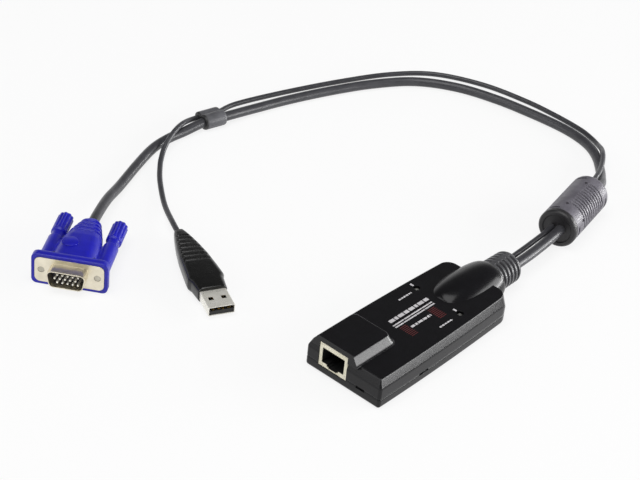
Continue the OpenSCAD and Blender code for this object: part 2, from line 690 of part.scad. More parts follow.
// Ferrite
module at_ferrite() translate(ferrite_at) rotate([0, 0, ferrite_turn]) children();
jacket_edge_r = 2.6;
ring_groove = 0.35;
ring_count = 9;
ring_span_share = 0.5;
end_recess = 1.2;
module ferrite_core() color(chip_black) at_ferrite() difference() {
    translate([-core_l / 2, 0, 0]) rod(core_l, core_d / 2);
    translate([-core_l, 0, 0]) rod(core_l * 2, ferrite_bore_d / 2);
}
module ferrite_jacket() color(boot_grey) at_ferrite() difference() {
    rotate([0, 90, 0]) rotate_extrude($fn = round_faces) polygon(concat(
        [[0, -ferrite_l / 2], [ferrite_d / 2 - jacket_edge_r / 2, -ferrite_l / 2],
            [ferrite_d / 2, -ferrite_l / 2 + jacket_edge_r / 2]],
        [for (i = [0:ring_count - 1]) for (step = [0:3]) let (
            pitch = ferrite_l * ring_span_share / ring_count,
            x = (i + 0.5 - ring_count / 2) * pitch)
            [ferrite_d / 2 - (step == 1 || step == 2 ? ring_groove : 0), x + (step - 1.5) * pitch / 9]],
        [for (a = [0:22.5:90]) [ferrite_d / 2 - jacket_edge_r * (1 - cos(a)),
            ferrite_l / 2 - jacket_edge_r * (1 - sin(a))]],
        [[0, ferrite_l / 2]]));
    translate([-ferrite_l, 0, 0]) rod(ferrite_l * 2, ferrite_bore_d / 2);
    translate([-core_l / 2 - seat_gap, 0, 0]) rod(core_l + seat_gap * 2, core_d / 2 + seat_gap);
    translate([-ferrite_l / 2 - over, 0, 0]) rod(end_recess + over, core_d / 2 - end_recess / 2);
}

// Clip over both cables
module at_clip() translate(clip_at) rotate([0, 0, clip_turn]) children();
module cable_clip() color(boot_grey) at_clip() difference() {
    union() {
        translate([-clip_l / 2, -clip_sep / 2, 0]) rod(clip_l, clip_video_r);
        translate([-clip_l / 2, clip_sep / 2, 0]) rod(clip_l, clip_usb_r);
        translate([-clip_l / 2, -clip_sep / 2, -clip_usb_r * 0.8]) cube([clip_l, clip_sep, clip_usb_r * 1.6]);
    }
    translate([-clip_l, -clip_sep / 2, 0]) rod(clip_l * 2, video_d / 2 + clip_gap);
    translate([-clip_l, clip_sep / 2, 0]) rod(clip_l * 2, usb_d / 2 + clip_gap);
}

// Video plug, drawn with its flange's front at x = 0 and the cable at +x
module at_video_plug() translate(video_plug_at) rotate([0, 0, video_plug_turn]) children();
flange_t = 0.8;
rim_l = 4.5;
rim_corner_r = 2.5;
rim_step = 0.2;
boss_r = 3.6;
boss_l = 19;
cavity_gap = 0.08;
cavity_r = shank_r + cavity_gap;
web_h = 5.2;
dome_steps = 6;
// Stations of the dome: share of its length, then width and height as shares of the rim's
dome_shares = [[0, 0.60, 0.86], [0.16, 0.59, 0.86], [0.35, 0.57, 0.84], [0.52, 0.53, 0.80],
    [0.66, 0.45, 0.72], [0.79, 0.37, 0.66], [0.90, 0.30, 0.58], [1, 0.235, 0.50]];
function ring_at(x, points) = [for (p = points) [x, p[0], p[1]]];
module dome() skin([for (s = dome_shares) let (w = rim_w * s[1], h = rim_h * s[2])
    ring_at(rim_l - over + (hood_l - rim_l + over) * s[0], rounded(w, h, min(w, h) * 0.38, dome_steps))]);
module across_screws(side) translate([0, side * screw_pitch / 2, 0]) children();
module along_x(l) rotate([90, 0, 90]) linear_extrude(l) children();
shank_front = 9;
collar_x = 7.1;
ring_t = 0.7;
module vga_hood() color(plug_blue) at_video_plug() difference() {
    union() {
        translate([rim_step, 0, 0]) along_x(rim_l - rim_step)
            polygon(rounded(rim_w, rim_h, rim_corner_r, dome_steps));
        dome();
        for (side = [-1, 1]) across_screws(side) translate([rim_l - over, 0, 0]) rod(boss_l + over, boss_r);
        translate([rim_l - over, -screw_pitch / 2, -web_h / 2]) cube([boss_l, screw_pitch, web_h]);
    }
    along_x(flange_t + seat_gap)
        polygon(rounded(flange_w + fit_gap * 2, flange_h + fit_gap * 2, rim_corner_r, dome_steps));
    for (side = [-1, 1]) across_screws(side) translate([flange_t, 0, 0]) rod(hood_l, cavity_r);
    translate([0, -insulator_w / 2 - fit_gap, -insulator_h / 2 - fit_gap])
        cube([insulator_back + fit_gap, insulator_w + fit_gap * 2, insulator_h + fit_gap * 2]);
    translate([hood_l - hood_grip - fit_gap, 0, 0]) rod(hood_l, video_d / 2 + fit_gap);
}
// The shell's outline, narrower below
shell_t = 0.4;
dshell_lean = 10;
dshell_r = 2.4;
function dshell_points(inset) = let (
    h = dshell_h - inset * 2, w = dshell_w - inset * 2, r = dshell_r - inset,
    low = w - tan(dshell_lean) * h)
    concat(arc(w / 2 - r, h / 2 - r, r, -dshell_lean, 90, 6),
        arc(r - w / 2, h / 2 - r, r, 90, 180 + dshell_lean, 6),
        arc(r - low / 2, r - h / 2, r, 180 + dshell_lean, 270, 6),
        arc(low / 2 - r, r - h / 2, r, 270, 360 - dshell_lean, 6));
insulator_w = 19;
insulator_h = 9.6;
insulator_back = 8;
module vga_shell() color(nickel) at_video_plug() difference() {
    union() {
        along_x(flange_t) polygon(rounded(flange_w, flange_h, rim_corner_r, dome_steps));
        translate([-dshell_out, 0, 0]) along_x(dshell_out + over) polygon(dshell_points(0));
    }
    translate([-dshell_out - over, 0, 0]) along_x(dshell_out * 2) polygon(dshell_points(shell_t));
    for (side = [-1, 1]) across_screws(side) translate([-over, 0, 0])
        rod(flange_t + over * 2, screw_r + fit_gap);
}
pin_r = 0.5;
pin_pitch = 2.29;
pin_row = 1.98;
pin_count = 5;
pin_short = 0.9;
pin_back = 1.5;
module pin_places() for (row = [-1, 0, 1]) for (i = [0:pin_count - 1])
    translate([0, (i + 0.5 - pin_count / 2 + (row == 0 ? 0.25 : -0.25)) * pin_pitch, row * pin_row])
        children();
module vga_insulator() color(chip_black) at_video_plug() difference() {
    union() {
        along_x(flange_t + seat_gap * 2) polygon(dshell_points(shell_t + seat_gap));
        translate([flange_t + seat_gap, -insulator_w / 2, -insulator_h / 2])
            cube([insulator_back - flange_t - seat_gap, insulator_w, insulator_h]);
    }
    pin_places() translate([-over, 0, 0]) rod(insulator_back * 2, pin_r + seat_gap / 2, small_faces);
}
module vga_pins() color(gold) at_video_plug() pin_places() {
    translate([-dshell_out + pin_short + pin_r, 0, 0])
        rod(dshell_out - pin_short - pin_r + insulator_back - fit_gap, pin_r, small_faces);
    translate([-dshell_out + pin_short + pin_r, 0, 0]) sphere(r = pin_r, $fn = small_faces);
}
// Thumb screws: a ring rides in the boss with the screw, whose collar and shank hold it
screw_back = 30;
knob_x = 28.2;
flutes = 12;
flute_r = 0.5;
driver_slot_w = 1;
driver_slot_deep = 0.8;
collar_out = 0.6;
module jackscrew(side) color(nickel) at_video_plug() across_screws(side) {
    translate([fit_gap, 0, 0]) rod(screw_back, screw_r, small_faces * 2);
    translate([collar_x - ring_t, 0, 0]) rod(ring_t, screw_r + collar_out);
}
module knob(side) color(plug_blue) at_video_plug() across_screws(side) difference() {
    union() {
        translate([shank_front, 0, 0]) rod(knob_x - shank_front + over, shank_r);
        translate([knob_x, 0, 0]) rod(knob_l, knob_r);
    }
    translate([shank_front - over, 0, 0])
        rod(screw_back + fit_gap * 2 - shank_front + over, screw_r + seat_gap);
    for (i = [0:flutes - 1]) rotate([360 * i / flutes, 0, 0])
        translate([knob_x + flute_r * 2, 0, knob_r + flute_r * 0.2]) rod(knob_l, flute_r, small_faces);
    translate([knob_x + knob_l - driver_slot_deep, -knob_r, -driver_slot_w / 2])
        cube([driver_slot_deep * 2, knob_r * 2, driver_slot_w]);
}
module retaining_ring(side) color(nickel) at_video_plug() across_screws(side)
    translate([collar_x + fit_gap, 0, 0]) difference() {
        rod(shank_front - collar_x - fit_gap * 2, shank_r);
        translate([-over, 0, 0]) rod(shank_front, screw_r + seat_gap);
    }
module left_jackscrew() jackscrew(1);
module right_jackscrew() jackscrew(-1);
module left_knob() knob(1);
module right_knob() knob(-1);
module left_retaining_ring() retaining_ring(1);
module right_retaining_ring() retaining_ring(-1);

// USB plug, drawn with the shell's tip at x = 0 and the cable at +x
module at_usb_plug() translate(usb_plug_at) rotate([0, 0, usb_plug_turn]) children();
usb_sheet = 0.32;
usb_shell_l = 18.6;
tongue_t = 1.9;
usb_window = 2.2;
usb_window_x = 5.2;
usb_window_y = 2.9;
usb_hood_steps = 5;
// Stations of the hood: share of its length, then width and thickness as shares of the shoulder's
usb_hood_shares = [[0, 0.79, 0.90], [0.06, 0.83, 0.96], [0.15, 0.89, 1], [0.20, 1, 1], [0.25, 0.99, 1],
    [0.36, 0.93, 1], [0.55, 0.82, 0.94], [0.72, 0.66, 0.84], [0.85, 0.50, 0.74],
    [0.95, 0.36, 0.62], [1, 0.27, 0.52]];
module usb_hood() color(shell_black) at_usb_plug() difference() {
    skin([for (s = usb_hood_shares) let (w = usb_hood_w * s[1], h = usb_hood_h * s[2])
        ring_at(usb_out + usb_hood_l * s[0], rounded(w, h, h * 0.3, usb_hood_steps))]);
    translate([usb_out - over, -usb_w / 2 - seat_gap, -usb_h / 2 - seat_gap])
        cube([usb_shell_l - usb_out + over + fit_gap, usb_w + seat_gap * 2, usb_h + seat_gap * 2]);
    translate([usb_out + usb_hood_l - hood_grip - fit_gap, 0, 0]) rod(hood_grip * 2, usb_d / 2 + fit_gap);
}
module usb_shell() color(nickel) at_usb_plug() difference() {
    along_x(usb_shell_l) polygon(rounded(usb_w, usb_h, usb_sheet * 1.6, 3));
    translate([-over, 0, 0]) along_x(usb_shell_l + over * 2)
        polygon(rounded(usb_w - usb_sheet * 2, usb_h - usb_sheet * 2, usb_sheet, 3));
    for (side = [-1, 1]) translate([usb_window_x, side * usb_window_y - usb_window / 2, -usb_h])
        cube([usb_window, usb_window, usb_h * 2]);
}
module usb_insulator() color(chip_black) at_usb_plug() {
    w = usb_w - (usb_sheet + fit_gap) * 2;
    floor_z = usb_sheet + fit_gap - usb_h / 2;
    translate([usb_sheet, -w / 2, floor_z]) cube([usb_shell_l - usb_sheet * 2, w, tongue_t]);
    translate([usb_out, -w / 2, floor_z])
        cube([usb_shell_l - usb_out - usb_sheet, w, usb_h - (usb_sheet + fit_gap) * 2]);
}
usb_contact_shares = [-0.29, -0.083, 0.083, 0.29];
usb_contact_w = 1;
usb_contact_t = 0.2;
module usb_contacts() color(gold) at_usb_plug() for (share = usb_contact_shares)
    translate([usb_sheet * 3, usb_w * share - usb_contact_w / 2, usb_sheet + fit_gap - usb_h / 2 + tongue_t])
        cube([usb_out - usb_sheet * 4, usb_contact_w, usb_contact_t]);

top_cover();
bottom_cover();
circuit_board();
board_screws();
controller_chip();
video_chip();
crystal_oscillator();
board_capacitors();
rj45_housing();
rj45_shield();
rj45_contacts();
online_led();
power_led();
video_header();
usb_header();
lead_wires();
cable_boot();
vga_cable();
usb_cable();
ferrite_core();
ferrite_jacket();
cable_clip();
vga_hood();
vga_shell();
vga_insulator();
vga_pins();
left_jackscrew();
right_jackscrew();
left_knob();
right_knob();
left_retaining_ring();
right_retaining_ring();
usb_hood();
usb_shell();
usb_insulator();
usb_contacts();
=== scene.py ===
import math

import bmesh
import bpy
from mathutils import Matrix, Vector


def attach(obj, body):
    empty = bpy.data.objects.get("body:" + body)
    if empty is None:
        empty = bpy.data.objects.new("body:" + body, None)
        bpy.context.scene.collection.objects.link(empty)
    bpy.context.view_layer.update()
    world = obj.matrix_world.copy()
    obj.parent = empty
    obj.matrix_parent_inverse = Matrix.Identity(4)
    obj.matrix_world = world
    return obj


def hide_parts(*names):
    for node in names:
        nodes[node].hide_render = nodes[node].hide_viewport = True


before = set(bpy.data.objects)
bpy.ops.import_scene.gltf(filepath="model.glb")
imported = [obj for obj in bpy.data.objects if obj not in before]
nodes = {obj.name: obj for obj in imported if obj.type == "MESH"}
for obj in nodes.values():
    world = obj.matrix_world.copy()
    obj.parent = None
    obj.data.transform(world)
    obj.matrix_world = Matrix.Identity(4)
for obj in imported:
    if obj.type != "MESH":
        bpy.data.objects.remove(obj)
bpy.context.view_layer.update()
MM = 0.001

# Places, in millimetres
HOUSING_X = -56.8
BODY_L, DECK_Z, WALL_Z, PARTING_Z, BEVEL_IN = 90.6, 14.2, 10.2, 4.8, 1.9
AXIS_Z = 8.2
BOOT_L, BOOT_END_X = 15.6, 56.8
BODY_W, SIDE_BOW, WIDEST_X, BAND_DROP = 40.8, 1400, 17, 2.6
FRONT_CORNER_R, REAR_CORNER_R, LEAST_R = 1.4, 7, 0.3
BLOCK_TOP_Z, BLOCK_L, BLOCK_W = 18.4, 23.1, 19.6
BLOCK_Y, BLOCK_CORNER_R = 5.3, 2.4
JACK_Y, JACK_W, JACK_LOW, JACK_HIGH, JACK_DEPTH = 5.8, 15.3, 4.1, 16.2, 17
LAMP_X, LAMP_Y, LAMP_R = 61.4, 12, 1.6
FAIRING_X, FAIRING_END_X, FAIRING_R, FAIRING_NECK_R, FAIRING_WIDE = 62.6, 98, 10, 7.9, 1.15
BOOT_R, BOOT_END_R, BOOT_TIP_R = 7.85, 7.6, 2.6
FERRITE_AT, FERRITE_TURN, FERRITE_L, FERRITE_R = (114.5, 5.9, 9.5), 11.5, 39.6, 9.5
CLIP_AT, CLIP_TURN, CLIP_L, CLIP_SEP = (49, 181, 3.9), -13, 12.6, 5.4
CLIP_VIDEO_R, CLIP_USB_R = 3.9, 2.8
VIDEO_AT, VIDEO_TURN, HOOD_L = (-95.3, 124.1, 7.8), 33, 39
USB_AT, USB_TURN, USB_OUT, USB_HOOD_L = (-60.6, 65.6, 4.2), 63.6, 12, 47.5
RIM_W, RIM_H, SCREW_Y, BORE_R = 34, 15.6, 12.5, 2.98
USB_HOOD_W, USB_HOOD_H = 16.8, 8.4
VIDEO_D, USB_D = 4.8, 2.6
VIDEO_SIDE, USB_SIDE = -1.8, 2.9
BIG, TINY = 120, 0.05


def place(at=(0, 0, 0), turn=0):
    return Matrix.Translation(Vector(at)) @ Matrix.Rotation(math.radians(turn), 4, "Z")


IN_HOUSING = place((HOUSING_X, 0, 0))
IN_FERRITE = place(FERRITE_AT, FERRITE_TURN)
IN_CLIP = place(CLIP_AT, CLIP_TURN)
IN_VIDEO = place(VIDEO_AT, VIDEO_TURN)
IN_USB = place(USB_AT, USB_TURN)


# Camera
def set_camera():
    """The camera of the photo: its place, its aim, its roll and its lens."""
    eye = Vector((-538.9, -365.3, 489.5)) * MM
    aim = Vector((15.5, 76.9, 0)) * MM
    roll = math.radians(6.1)
    ahead = (aim - eye).normalized()
    right = ahead.cross(Vector((0, 0, 1))).normalized()
    up = right.cross(ahead)
    side = right * math.cos(roll) + up * math.sin(roll)
    top = up * math.cos(roll) - right * math.sin(roll)
    data = bpy.data.cameras.new("camera")
    data.sensor_fit = "HORIZONTAL"
    data.sensor_width = 36
    focal_pixels, picture_width = 1879.2, 640
    data.lens = focal_pixels / picture_width * data.sensor_width
    data.clip_start = 0.01
    camera = bpy.data.objects.new("camera", data)
    bpy.context.scene.collection.objects.link(camera)
    turn = Matrix((side, top, -ahead)).transposed().to_4x4()
    camera.matrix_world = Matrix.Translation(eye) @ turn
    bpy.context.scene.camera = camera


set_camera()


# Materials
def new_material(name):
    mat = bpy.data.materials.new(name)
    mat.use_nodes = True
    tree = mat.node_tree
    tree.nodes.clear()
    out = tree.nodes.new("ShaderNodeOutputMaterial")
    shader = tree.nodes.new("ShaderNodeBsdfPrincipled")
    tree.links.new(shader.outputs["BSDF"], out.inputs["Surface"])
    return mat, tree, shader


def add(tree, kind, **values):
    node = tree.nodes.new(kind)
    for key, value in values.items():
        if key in node.inputs:
            node.inputs[key].default_value = value
        else:
            setattr(node, key, value)
    return node


def linear(*srgb):
    return tuple(
        (c / 12.92 if c <= 0.04045 else ((c + 0.055) / 1.055) ** 2.4) for c in srgb
    ) + (1,)


def noise_node(tree, coords, scale, detail=3, roughness=0.5, distortion=0.0):
    node = add(tree, "ShaderNodeTexNoise", Scale=scale, Detail=detail, Roughness=roughness)
    node.inputs["Distortion"].default_value = distortion
    tree.links.new(coords, node.inputs["Vector"])
    return node


def span(tree, value, low, high, to_low, to_high):
    node = add(tree, "ShaderNodeMapRange")
    tree.links.new(value, node.inputs["Value"])
    for key, number in (("From Min", low), ("From Max", high), ("To Min", to_low), ("To Max", to_high)):
        node.inputs[key].default_value = number
    return node.outputs["Result"]


def moulded(
    name, color, second=None, rough=(0.3, 0.4), grain=0.03, grain_scale=2600,
    swell=0.0, swell_scale=60, ior=1.5, metallic=0.0, coat=0.0, edge=0.00018,
    blotch_scale=220, stretch=None, scuff=0.0, dark_end=None,
):
    """A moulded or metal surface: two near shades, uneven gloss, fine grain and soft edges."""
    mat, tree, shader = new_material(name)
    link = tree.links.new
    coords = add(tree, "ShaderNodeTexCoord").outputs["Object"]
    fine = coords
    if stretch:
        mapping = add(tree, "ShaderNodeMapping", Scale=stretch[0], Rotation=stretch[1])
        link(coords, mapping.inputs["Vector"])
        fine = mapping.outputs["Vector"]
    blotch = noise_node(tree, coords, blotch_scale, 4, 0.55)
    mix = add(tree, "ShaderNodeMix", data_type="RGBA")
    mix.inputs[6].default_value = color
    mix.inputs[7].default_value = second or color
    link(span(tree, blotch.outputs["Fac"], 0.35, 0.65, 0, 1), mix.inputs[0])
    shade = mix.outputs[2]
    grit = noise_node(tree, fine, grain_scale, 2, 0.6)
    if scuff:
        marks = noise_node(tree, coords, 900, 5, 0.7, 1.2)
        worn = add(tree, "ShaderNodeMix", data_type="RGBA")
        link(span(tree, marks.outputs["Fac"], 0.62, 0.74, 0, scuff), worn.inputs[0])
        link(shade, worn.inputs[6])
        worn.inputs[7].default_value = tuple(min(c * 2.2 + 0.01, 1) for c in color[:3]) + (1,)
        shade = worn.outputs[2]
    if dark_end:
        at, direction, reach, dark = dark_end
        ahead = add(tree, "ShaderNodeVectorMath", operation="DOT_PRODUCT")
        link(coords, ahead.inputs[0])
        ahead.inputs[1].default_value = direction
        start = Vector(at).dot(Vector(direction))
        ended = add(tree, "ShaderNodeMix", data_type="RGBA")
        link(span(tree, ahead.outputs["Value"], start, start + reach, 0, 1), ended.inputs[0])
        ended.inputs[6].default_value = dark
        link(shade, ended.inputs[7])
        shade = ended.outputs[2]
    link(shade, shader.inputs["Base Color"])
    gloss = noise_node(tree, fine, blotch_scale * 1.7, 5, 0.6)
    link(span(tree, gloss.outputs["Fac"], 0.3, 0.7, rough[0], rough[1]), shader.inputs["Roughness"])
    normal = None
    if edge:
        round_edge = add(tree, "ShaderNodeBevel", samples=4)
        round_edge.inputs["Radius"].default_value = edge
        normal = round_edge.outputs["Normal"]
    if swell:
        wide = noise_node(tree, coords, swell_scale, 1, 0.4)
        bump = add(tree, "ShaderNodeBump", Strength=1.0, Distance=swell * MM)
        link(wide.outputs["Fac"], bump.inputs["Height"])
        if normal:
            link(normal, bump.inputs["Normal"])
        normal = bump.outputs["Normal"]
    bump = add(tree, "ShaderNodeBump", Strength=1.0, Distance=grain * MM)
    link(grit.outputs["Fac"], bump.inputs["Height"])
    if normal:
        link(normal, bump.inputs["Normal"])
    link(bump.outputs["Normal"], shader.inputs["Normal"])
    shader.inputs["IOR"].default_value = ior
    shader.inputs["Metallic"].default_value = metallic
    shader.inputs["Coat Weight"].default_value = coat
    shader.inputs["Coat Roughness"].default_value = 0.12
    return mat


def near_end(spot, turn, x, reach, color):
    """Where a piece turns darker: a place on its axis, its direction, a reach and a colour."""
    ahead = (math.cos(math.radians(turn)), math.sin(math.radians(turn)), 0)
    return tuple(spot @ Vector((x, 0, 0)) * MM), ahead, reach * MM, color


HOUSING = moulded("housing_black", linear(0.045, 0.042, 0.052), linear(0.056, 0.054, 0.066),
    rough=(0.20, 0.24), grain=0.0003, grain_scale=5200, swell=0.006, swell_scale=45, ior=1.36)
CABLE = moulded("cable_grey", linear(0.20, 0.20, 0.215), linear(0.235, 0.235, 0.25),
    rough=(0.30, 0.42), grain=0.012, grain_scale=1800, swell=0.12, swell_scale=55, edge=0)
FERRITE_GREY = moulded("ferrite_grey", linear(0.33, 0.32, 0.35), linear(0.40, 0.39, 0.42),
    rough=(0.36, 0.5), grain=0.012, grain_scale=2400, edge=0.0002, scuff=0.05,
    dark_end=near_end(IN_FERRITE, FERRITE_TURN, 2.6 - FERRITE_L / 2, 0.6, linear(0.10, 0.095, 0.105)))
BOOT_GREY = moulded("boot_grey", linear(0.25, 0.25, 0.26), linear(0.30, 0.30, 0.31),
    rough=(0.26, 0.36), grain=0.015, grain_scale=2400, edge=0.0002, scuff=0.1)
CLIP_GREY = moulded("clip_grey", linear(0.29, 0.29, 0.305), linear(0.35, 0.35, 0.365),
    rough=(0.36, 0.5), grain=0.015, grain_scale=2400, edge=0.0002, scuff=0.08,
    dark_end=near_end(IN_CLIP, CLIP_TURN, 0.8 - CLIP_L / 2, 0.8, linear(0.12, 0.12, 0.125)))
BLUE = moulded("plug_blue", linear(0.035, 0.035, 0.60), linear(0.05, 0.05, 0.66),
    rough=(0.30, 0.42), grain=0.012, grain_scale=2600, swell=0.03, swell_scale=90, scuff=0.05)
BLACK = moulded("plug_black", linear(0.022, 0.022, 0.022), linear(0.036, 0.036, 0.036),
    rough=(0.20, 0.30), grain=0.014, grain_scale=2400, scuff=0.05)
CHIP = moulded("chip_black", linear(0.07, 0.07, 0.075), linear(0.09, 0.09, 0.09),
    rough=(0.45, 0.6), grain=0.02, grain_scale=3000)
NICKEL = moulded("nickel_plate", linear(0.93, 0.90, 0.82), linear(0.87, 0.84, 0.76),
    rough=(0.26, 0.40), grain=0.006, grain_scale=900, metallic=1.0, stretch=((1, 12, 1), (0, 0, 0)))
STEEL = moulded("screw_steel", linear(0.80, 0.78, 0.72), linear(0.70, 0.68, 0.62),
    rough=(0.24, 0.36), grain=0.004, grain_scale=1500, metallic=1.0)
PLATE = moulded("plug_shell", linear(0.97, 0.96, 0.93), linear(0.93, 0.92, 0.88),
    rough=(0.24, 0.36), grain=0.005, grain_scale=900, metallic=0.6)
NAVY = moulded("plug_navy", linear(0.045, 0.045, 0.13), linear(0.06, 0.06, 0.16),
    rough=(0.3, 0.42), grain=0.01, grain_scale=2600)
GOLD = moulded("contact_gold", linear(0.90, 0.74, 0.38), linear(0.82, 0.66, 0.34),
    rough=(0.18, 0.30), grain=0.003, grain_scale=2500, metallic=1.0)
CREAM = moulded("jack_cream", linear(0.90, 0.88, 0.80), linear(0.84, 0.82, 0.73),
    rough=(0.34, 0.48), grain=0.006, grain_scale=2400)
BOARD = moulded("board_green", linear(0.06, 0.33, 0.15), linear(0.09, 0.42, 0.20),
    rough=(0.25, 0.38), grain=0.01, grain_scale=2000, blotch_scale=700)
LENS = moulded("lamp_lens", linear(0.34, 0.34, 0.33), linear(0.40, 0.40, 0.38),
    rough=(0.08, 0.15), grain=0.002, coat=0.5)
# White ink for the print, also used for the painted glints beside the lamp holes.
WHITE_INK_AND_GLINT = moulded("white_ink_and_glint", linear(0.80, 0.79, 0.80), linear(0.72, 0.71, 0.72),
    rough=(0.4, 0.55), grain=0.004, edge=0)
RED_INK = moulded("maroon_ink", linear(0.34, 0.10, 0.11), linear(0.27, 0.07, 0.08),
    rough=(0.35, 0.5), grain=0.004, edge=0)


# Mesh helpers
def make(name, verts, faces, spot, smooth=True, sharp=38):
    """A mesh object from points in millimetres in the frame of its spot."""
    mesh = bpy.data.meshes.new(name)
    mesh.from_pydata([tuple((spot @ Vector(v)) * MM) for v in verts], [], faces)
    bm = bmesh.new()
    bm.from_mesh(mesh)
    bmesh.ops.recalc_face_normals(bm, faces=bm.faces)
    bm.to_mesh(mesh)
    bm.free()
    obj = bpy.data.objects.new(name, mesh)
    bpy.context.scene.collection.objects.link(obj)
    shade(obj, smooth, sharp)
    return obj


def shade(obj, smooth=True, sharp=38):
    """Smooth shading that breaks at edges sharper than an angle in degrees."""
    mesh = obj.data
    mesh.polygons.foreach_set("use_smooth", [smooth] * len(mesh.polygons))
    if smooth:
        mesh.set_sharp_from_angle(angle=math.radians(sharp))


def loft(name, rings, spot, smooth=True, sharp=38):
    """A closed skin over rings of equal count, the first and last ring filled."""
    n = len(rings[0])
    verts = [p for ring in rings for p in ring]
    faces = []
    for k in range(len(rings) - 1):
        for i in range(n):
            j = (i + 1) % n
            faces.append((k * n + i, k * n + j, (k + 1) * n + j, (k + 1) * n + i))
    faces.append(tuple(range(n - 1, -1, -1)))
    faces.append(tuple((len(rings) - 1) * n + i for i in range(n)))
    return make(name, verts, faces, spot, smooth, sharp)


def bake(obj):
    """Applies an object's modifiers."""
    graph = bpy.context.evaluated_depsgraph_get()
    mesh = bpy.data.meshes.new_from_object(obj.evaluated_get(graph))
    old = obj.data
    obj.modifiers.clear()
    obj.data = mesh
    bpy.data.meshes.remove(old)
    return obj


def combine(obj, others, operation):
    """Adds or cuts the other pieces, one after the other, and removes them."""
    for other in others:
        step = obj.modifiers.new(operation.lower(), "BOOLEAN")
        step.operation = operation
        step.object = other
        step.solver = "EXACT"
    bake(obj)
    for other in others:
        bpy.data.objects.remove(other)
    return obj


def soften(points, reach, steps=4):
    """Rounds the inner corners of a polyline."""
    out = [points[0]]
    for a, b, c in zip(points, points[1:], points[2:]):
        a, b, c = (Vector(p) for p in (a, b, c))
        u, v = a - b, c - b
        du, dv = min(reach, u.length / 2), min(reach, v.length / 2)
        p, q = b + u.normalized() * du, b + v.normalized() * dv
        for i in range(steps + 1):
            t = i / steps
            out.append(tuple(p * (1 - t) ** 2 + b * 2 * t * (1 - t) + q * t * t))
    out.append(points[-1])
    return [tuple(p) for p in out]


def arc(cx, cy, r, a0, a1, n):
    """Points of an arc in n steps, with its angles in degrees."""
    return [
        (cx + r * math.cos(math.radians(a0 + (a1 - a0) * i / n)),
         cy + r * math.sin(math.radians(a0 + (a1 - a0) * i / n)))
        for i in range(n + 1)
    ]


def rounded(w, h, r, n=8):
    """A rectangle about the middle with rounded corners."""
    return (arc(w / 2 - r, h / 2 - r, r, 0, 90, n) + arc(r - w / 2, h / 2 - r, r, 90, 180, n)
        + arc(r - w / 2, r - h / 2, r, 180, 270, n) + arc(w / 2 - r, r - h / 2, r, 270, 360, n))


def lathe_x(name, profile, spot, faces=72, radius=None, sharp=38):
    """Turns a profile of (x, radius) about the x axis; radius(x, r, angle) may change it."""
    rings = []
    for x, r in profile:
        ring = []
        for i in range(faces):
            a = 360 * i / faces
            rr = radius(x, r, a) if radius else r
            ring.append((x, rr * math.cos(math.radians(a)), rr * math.sin(math.radians(a))))
        rings.append(ring)
    return loft(name, rings, spot, sharp=sharp)


def block(name, low, high, spot):
    """A closed box between two corners, used to cut and to build up pieces."""
    (x0, y0, z0), (x1, y1, z1) = low, high
    ring = [(x0, y0), (x1, y0), (x1, y1), (x0, y1)]
    return loft(name, [[(x, y, z0) for x, y in ring], [(x, y, z1) for x, y in ring]], spot, smooth=False)


def pin(name, a, b, r, spot, faces=24):
    """A closed round bar between two points."""
    a, b = Vector(a), Vector(b)
    along = (b - a).normalized()
    side = along.orthogonal().normalized()
    up = along.cross(side)
    rings = []
    for p in (a, b):
        rings.append([tuple(p + (side * math.cos(t) + up * math.sin(t)) * r)
            for t in (2 * math.pi * i / faces for i in range(faces))])
    return loft(name, rings, spot)


def wear(obj, material, body="root", replaces=()):
    """Gives a piece its material and its body, and hides the solids it stands for."""
    obj.data.materials.clear()
    obj.data.materials.append(material)
    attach(obj, body)
    if replaces:
        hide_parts(*replaces)
    return obj


def weigh(obj):
    """Flat faces keep flat shading beside rounded edges."""
    step = obj.modifiers.new("weigh", "WEIGHTED_NORMAL")
    step.keep_sharp = True
    step.weight = 80
    return bake(obj)


# Cords
def beside(at, turn, along, across):
    """A place beside a piece, along and across its own axis."""
    c, s = math.cos(math.radians(turn)), math.sin(math.radians(turn))
    return (at[0] + along * c - across * s, at[1] + along * s + across * c, at[2])


def start_of(side):
    """How a lead leaves the boot."""
    return [(BOOT_END_X - BOOT_L - 6.4, side, AXIS_Z), (BOOT_END_X - BOOT_L / 2, side, AXIS_Z),
        (BOOT_END_X, side, AXIS_Z), (BOOT_END_X + 18, side + 0.4, AXIS_Z + 0.5)]


VIDEO_ROUTE = (
    start_of(VIDEO_SIDE)
    + [beside(FERRITE_AT, FERRITE_TURN, FERRITE_L * s, -1.55) for s in (-0.52, 0, 0.52)]
    + [(147, 12.7, 6.9), (155, 17.5, 4.4), (163.5, 23.7, 2.7), (171.5, 31.2, 2.5), (177.3, 39.5, 2.5),
       (180.7, 49.5, 2.5), (181.9, 62, 2.5), (180.8, 80, 2.5), (178, 100, 2.5), (171.5, 121, 2.5),
       (159, 139, 2.5), (140, 151.5, 2.5), (118, 161, 2.5), (94, 169, 2.5), (72, 174, 3)]
    + [beside(CLIP_AT, CLIP_TURN, CLIP_L * s, -CLIP_SEP / 2) for s in (0.5, 0, -0.5)]
    + [(31, 181, 2.8), (20, 181.7, 2.5), (8, 179.9, 2.5), (-8, 174, 2.5), (-27, 165.5, 3.2),
       (-42, 158, 5.8)]
    + [beside(VIDEO_AT, VIDEO_TURN, x, 0) for x in (HOOD_L + 6, HOOD_L - 5)]
)
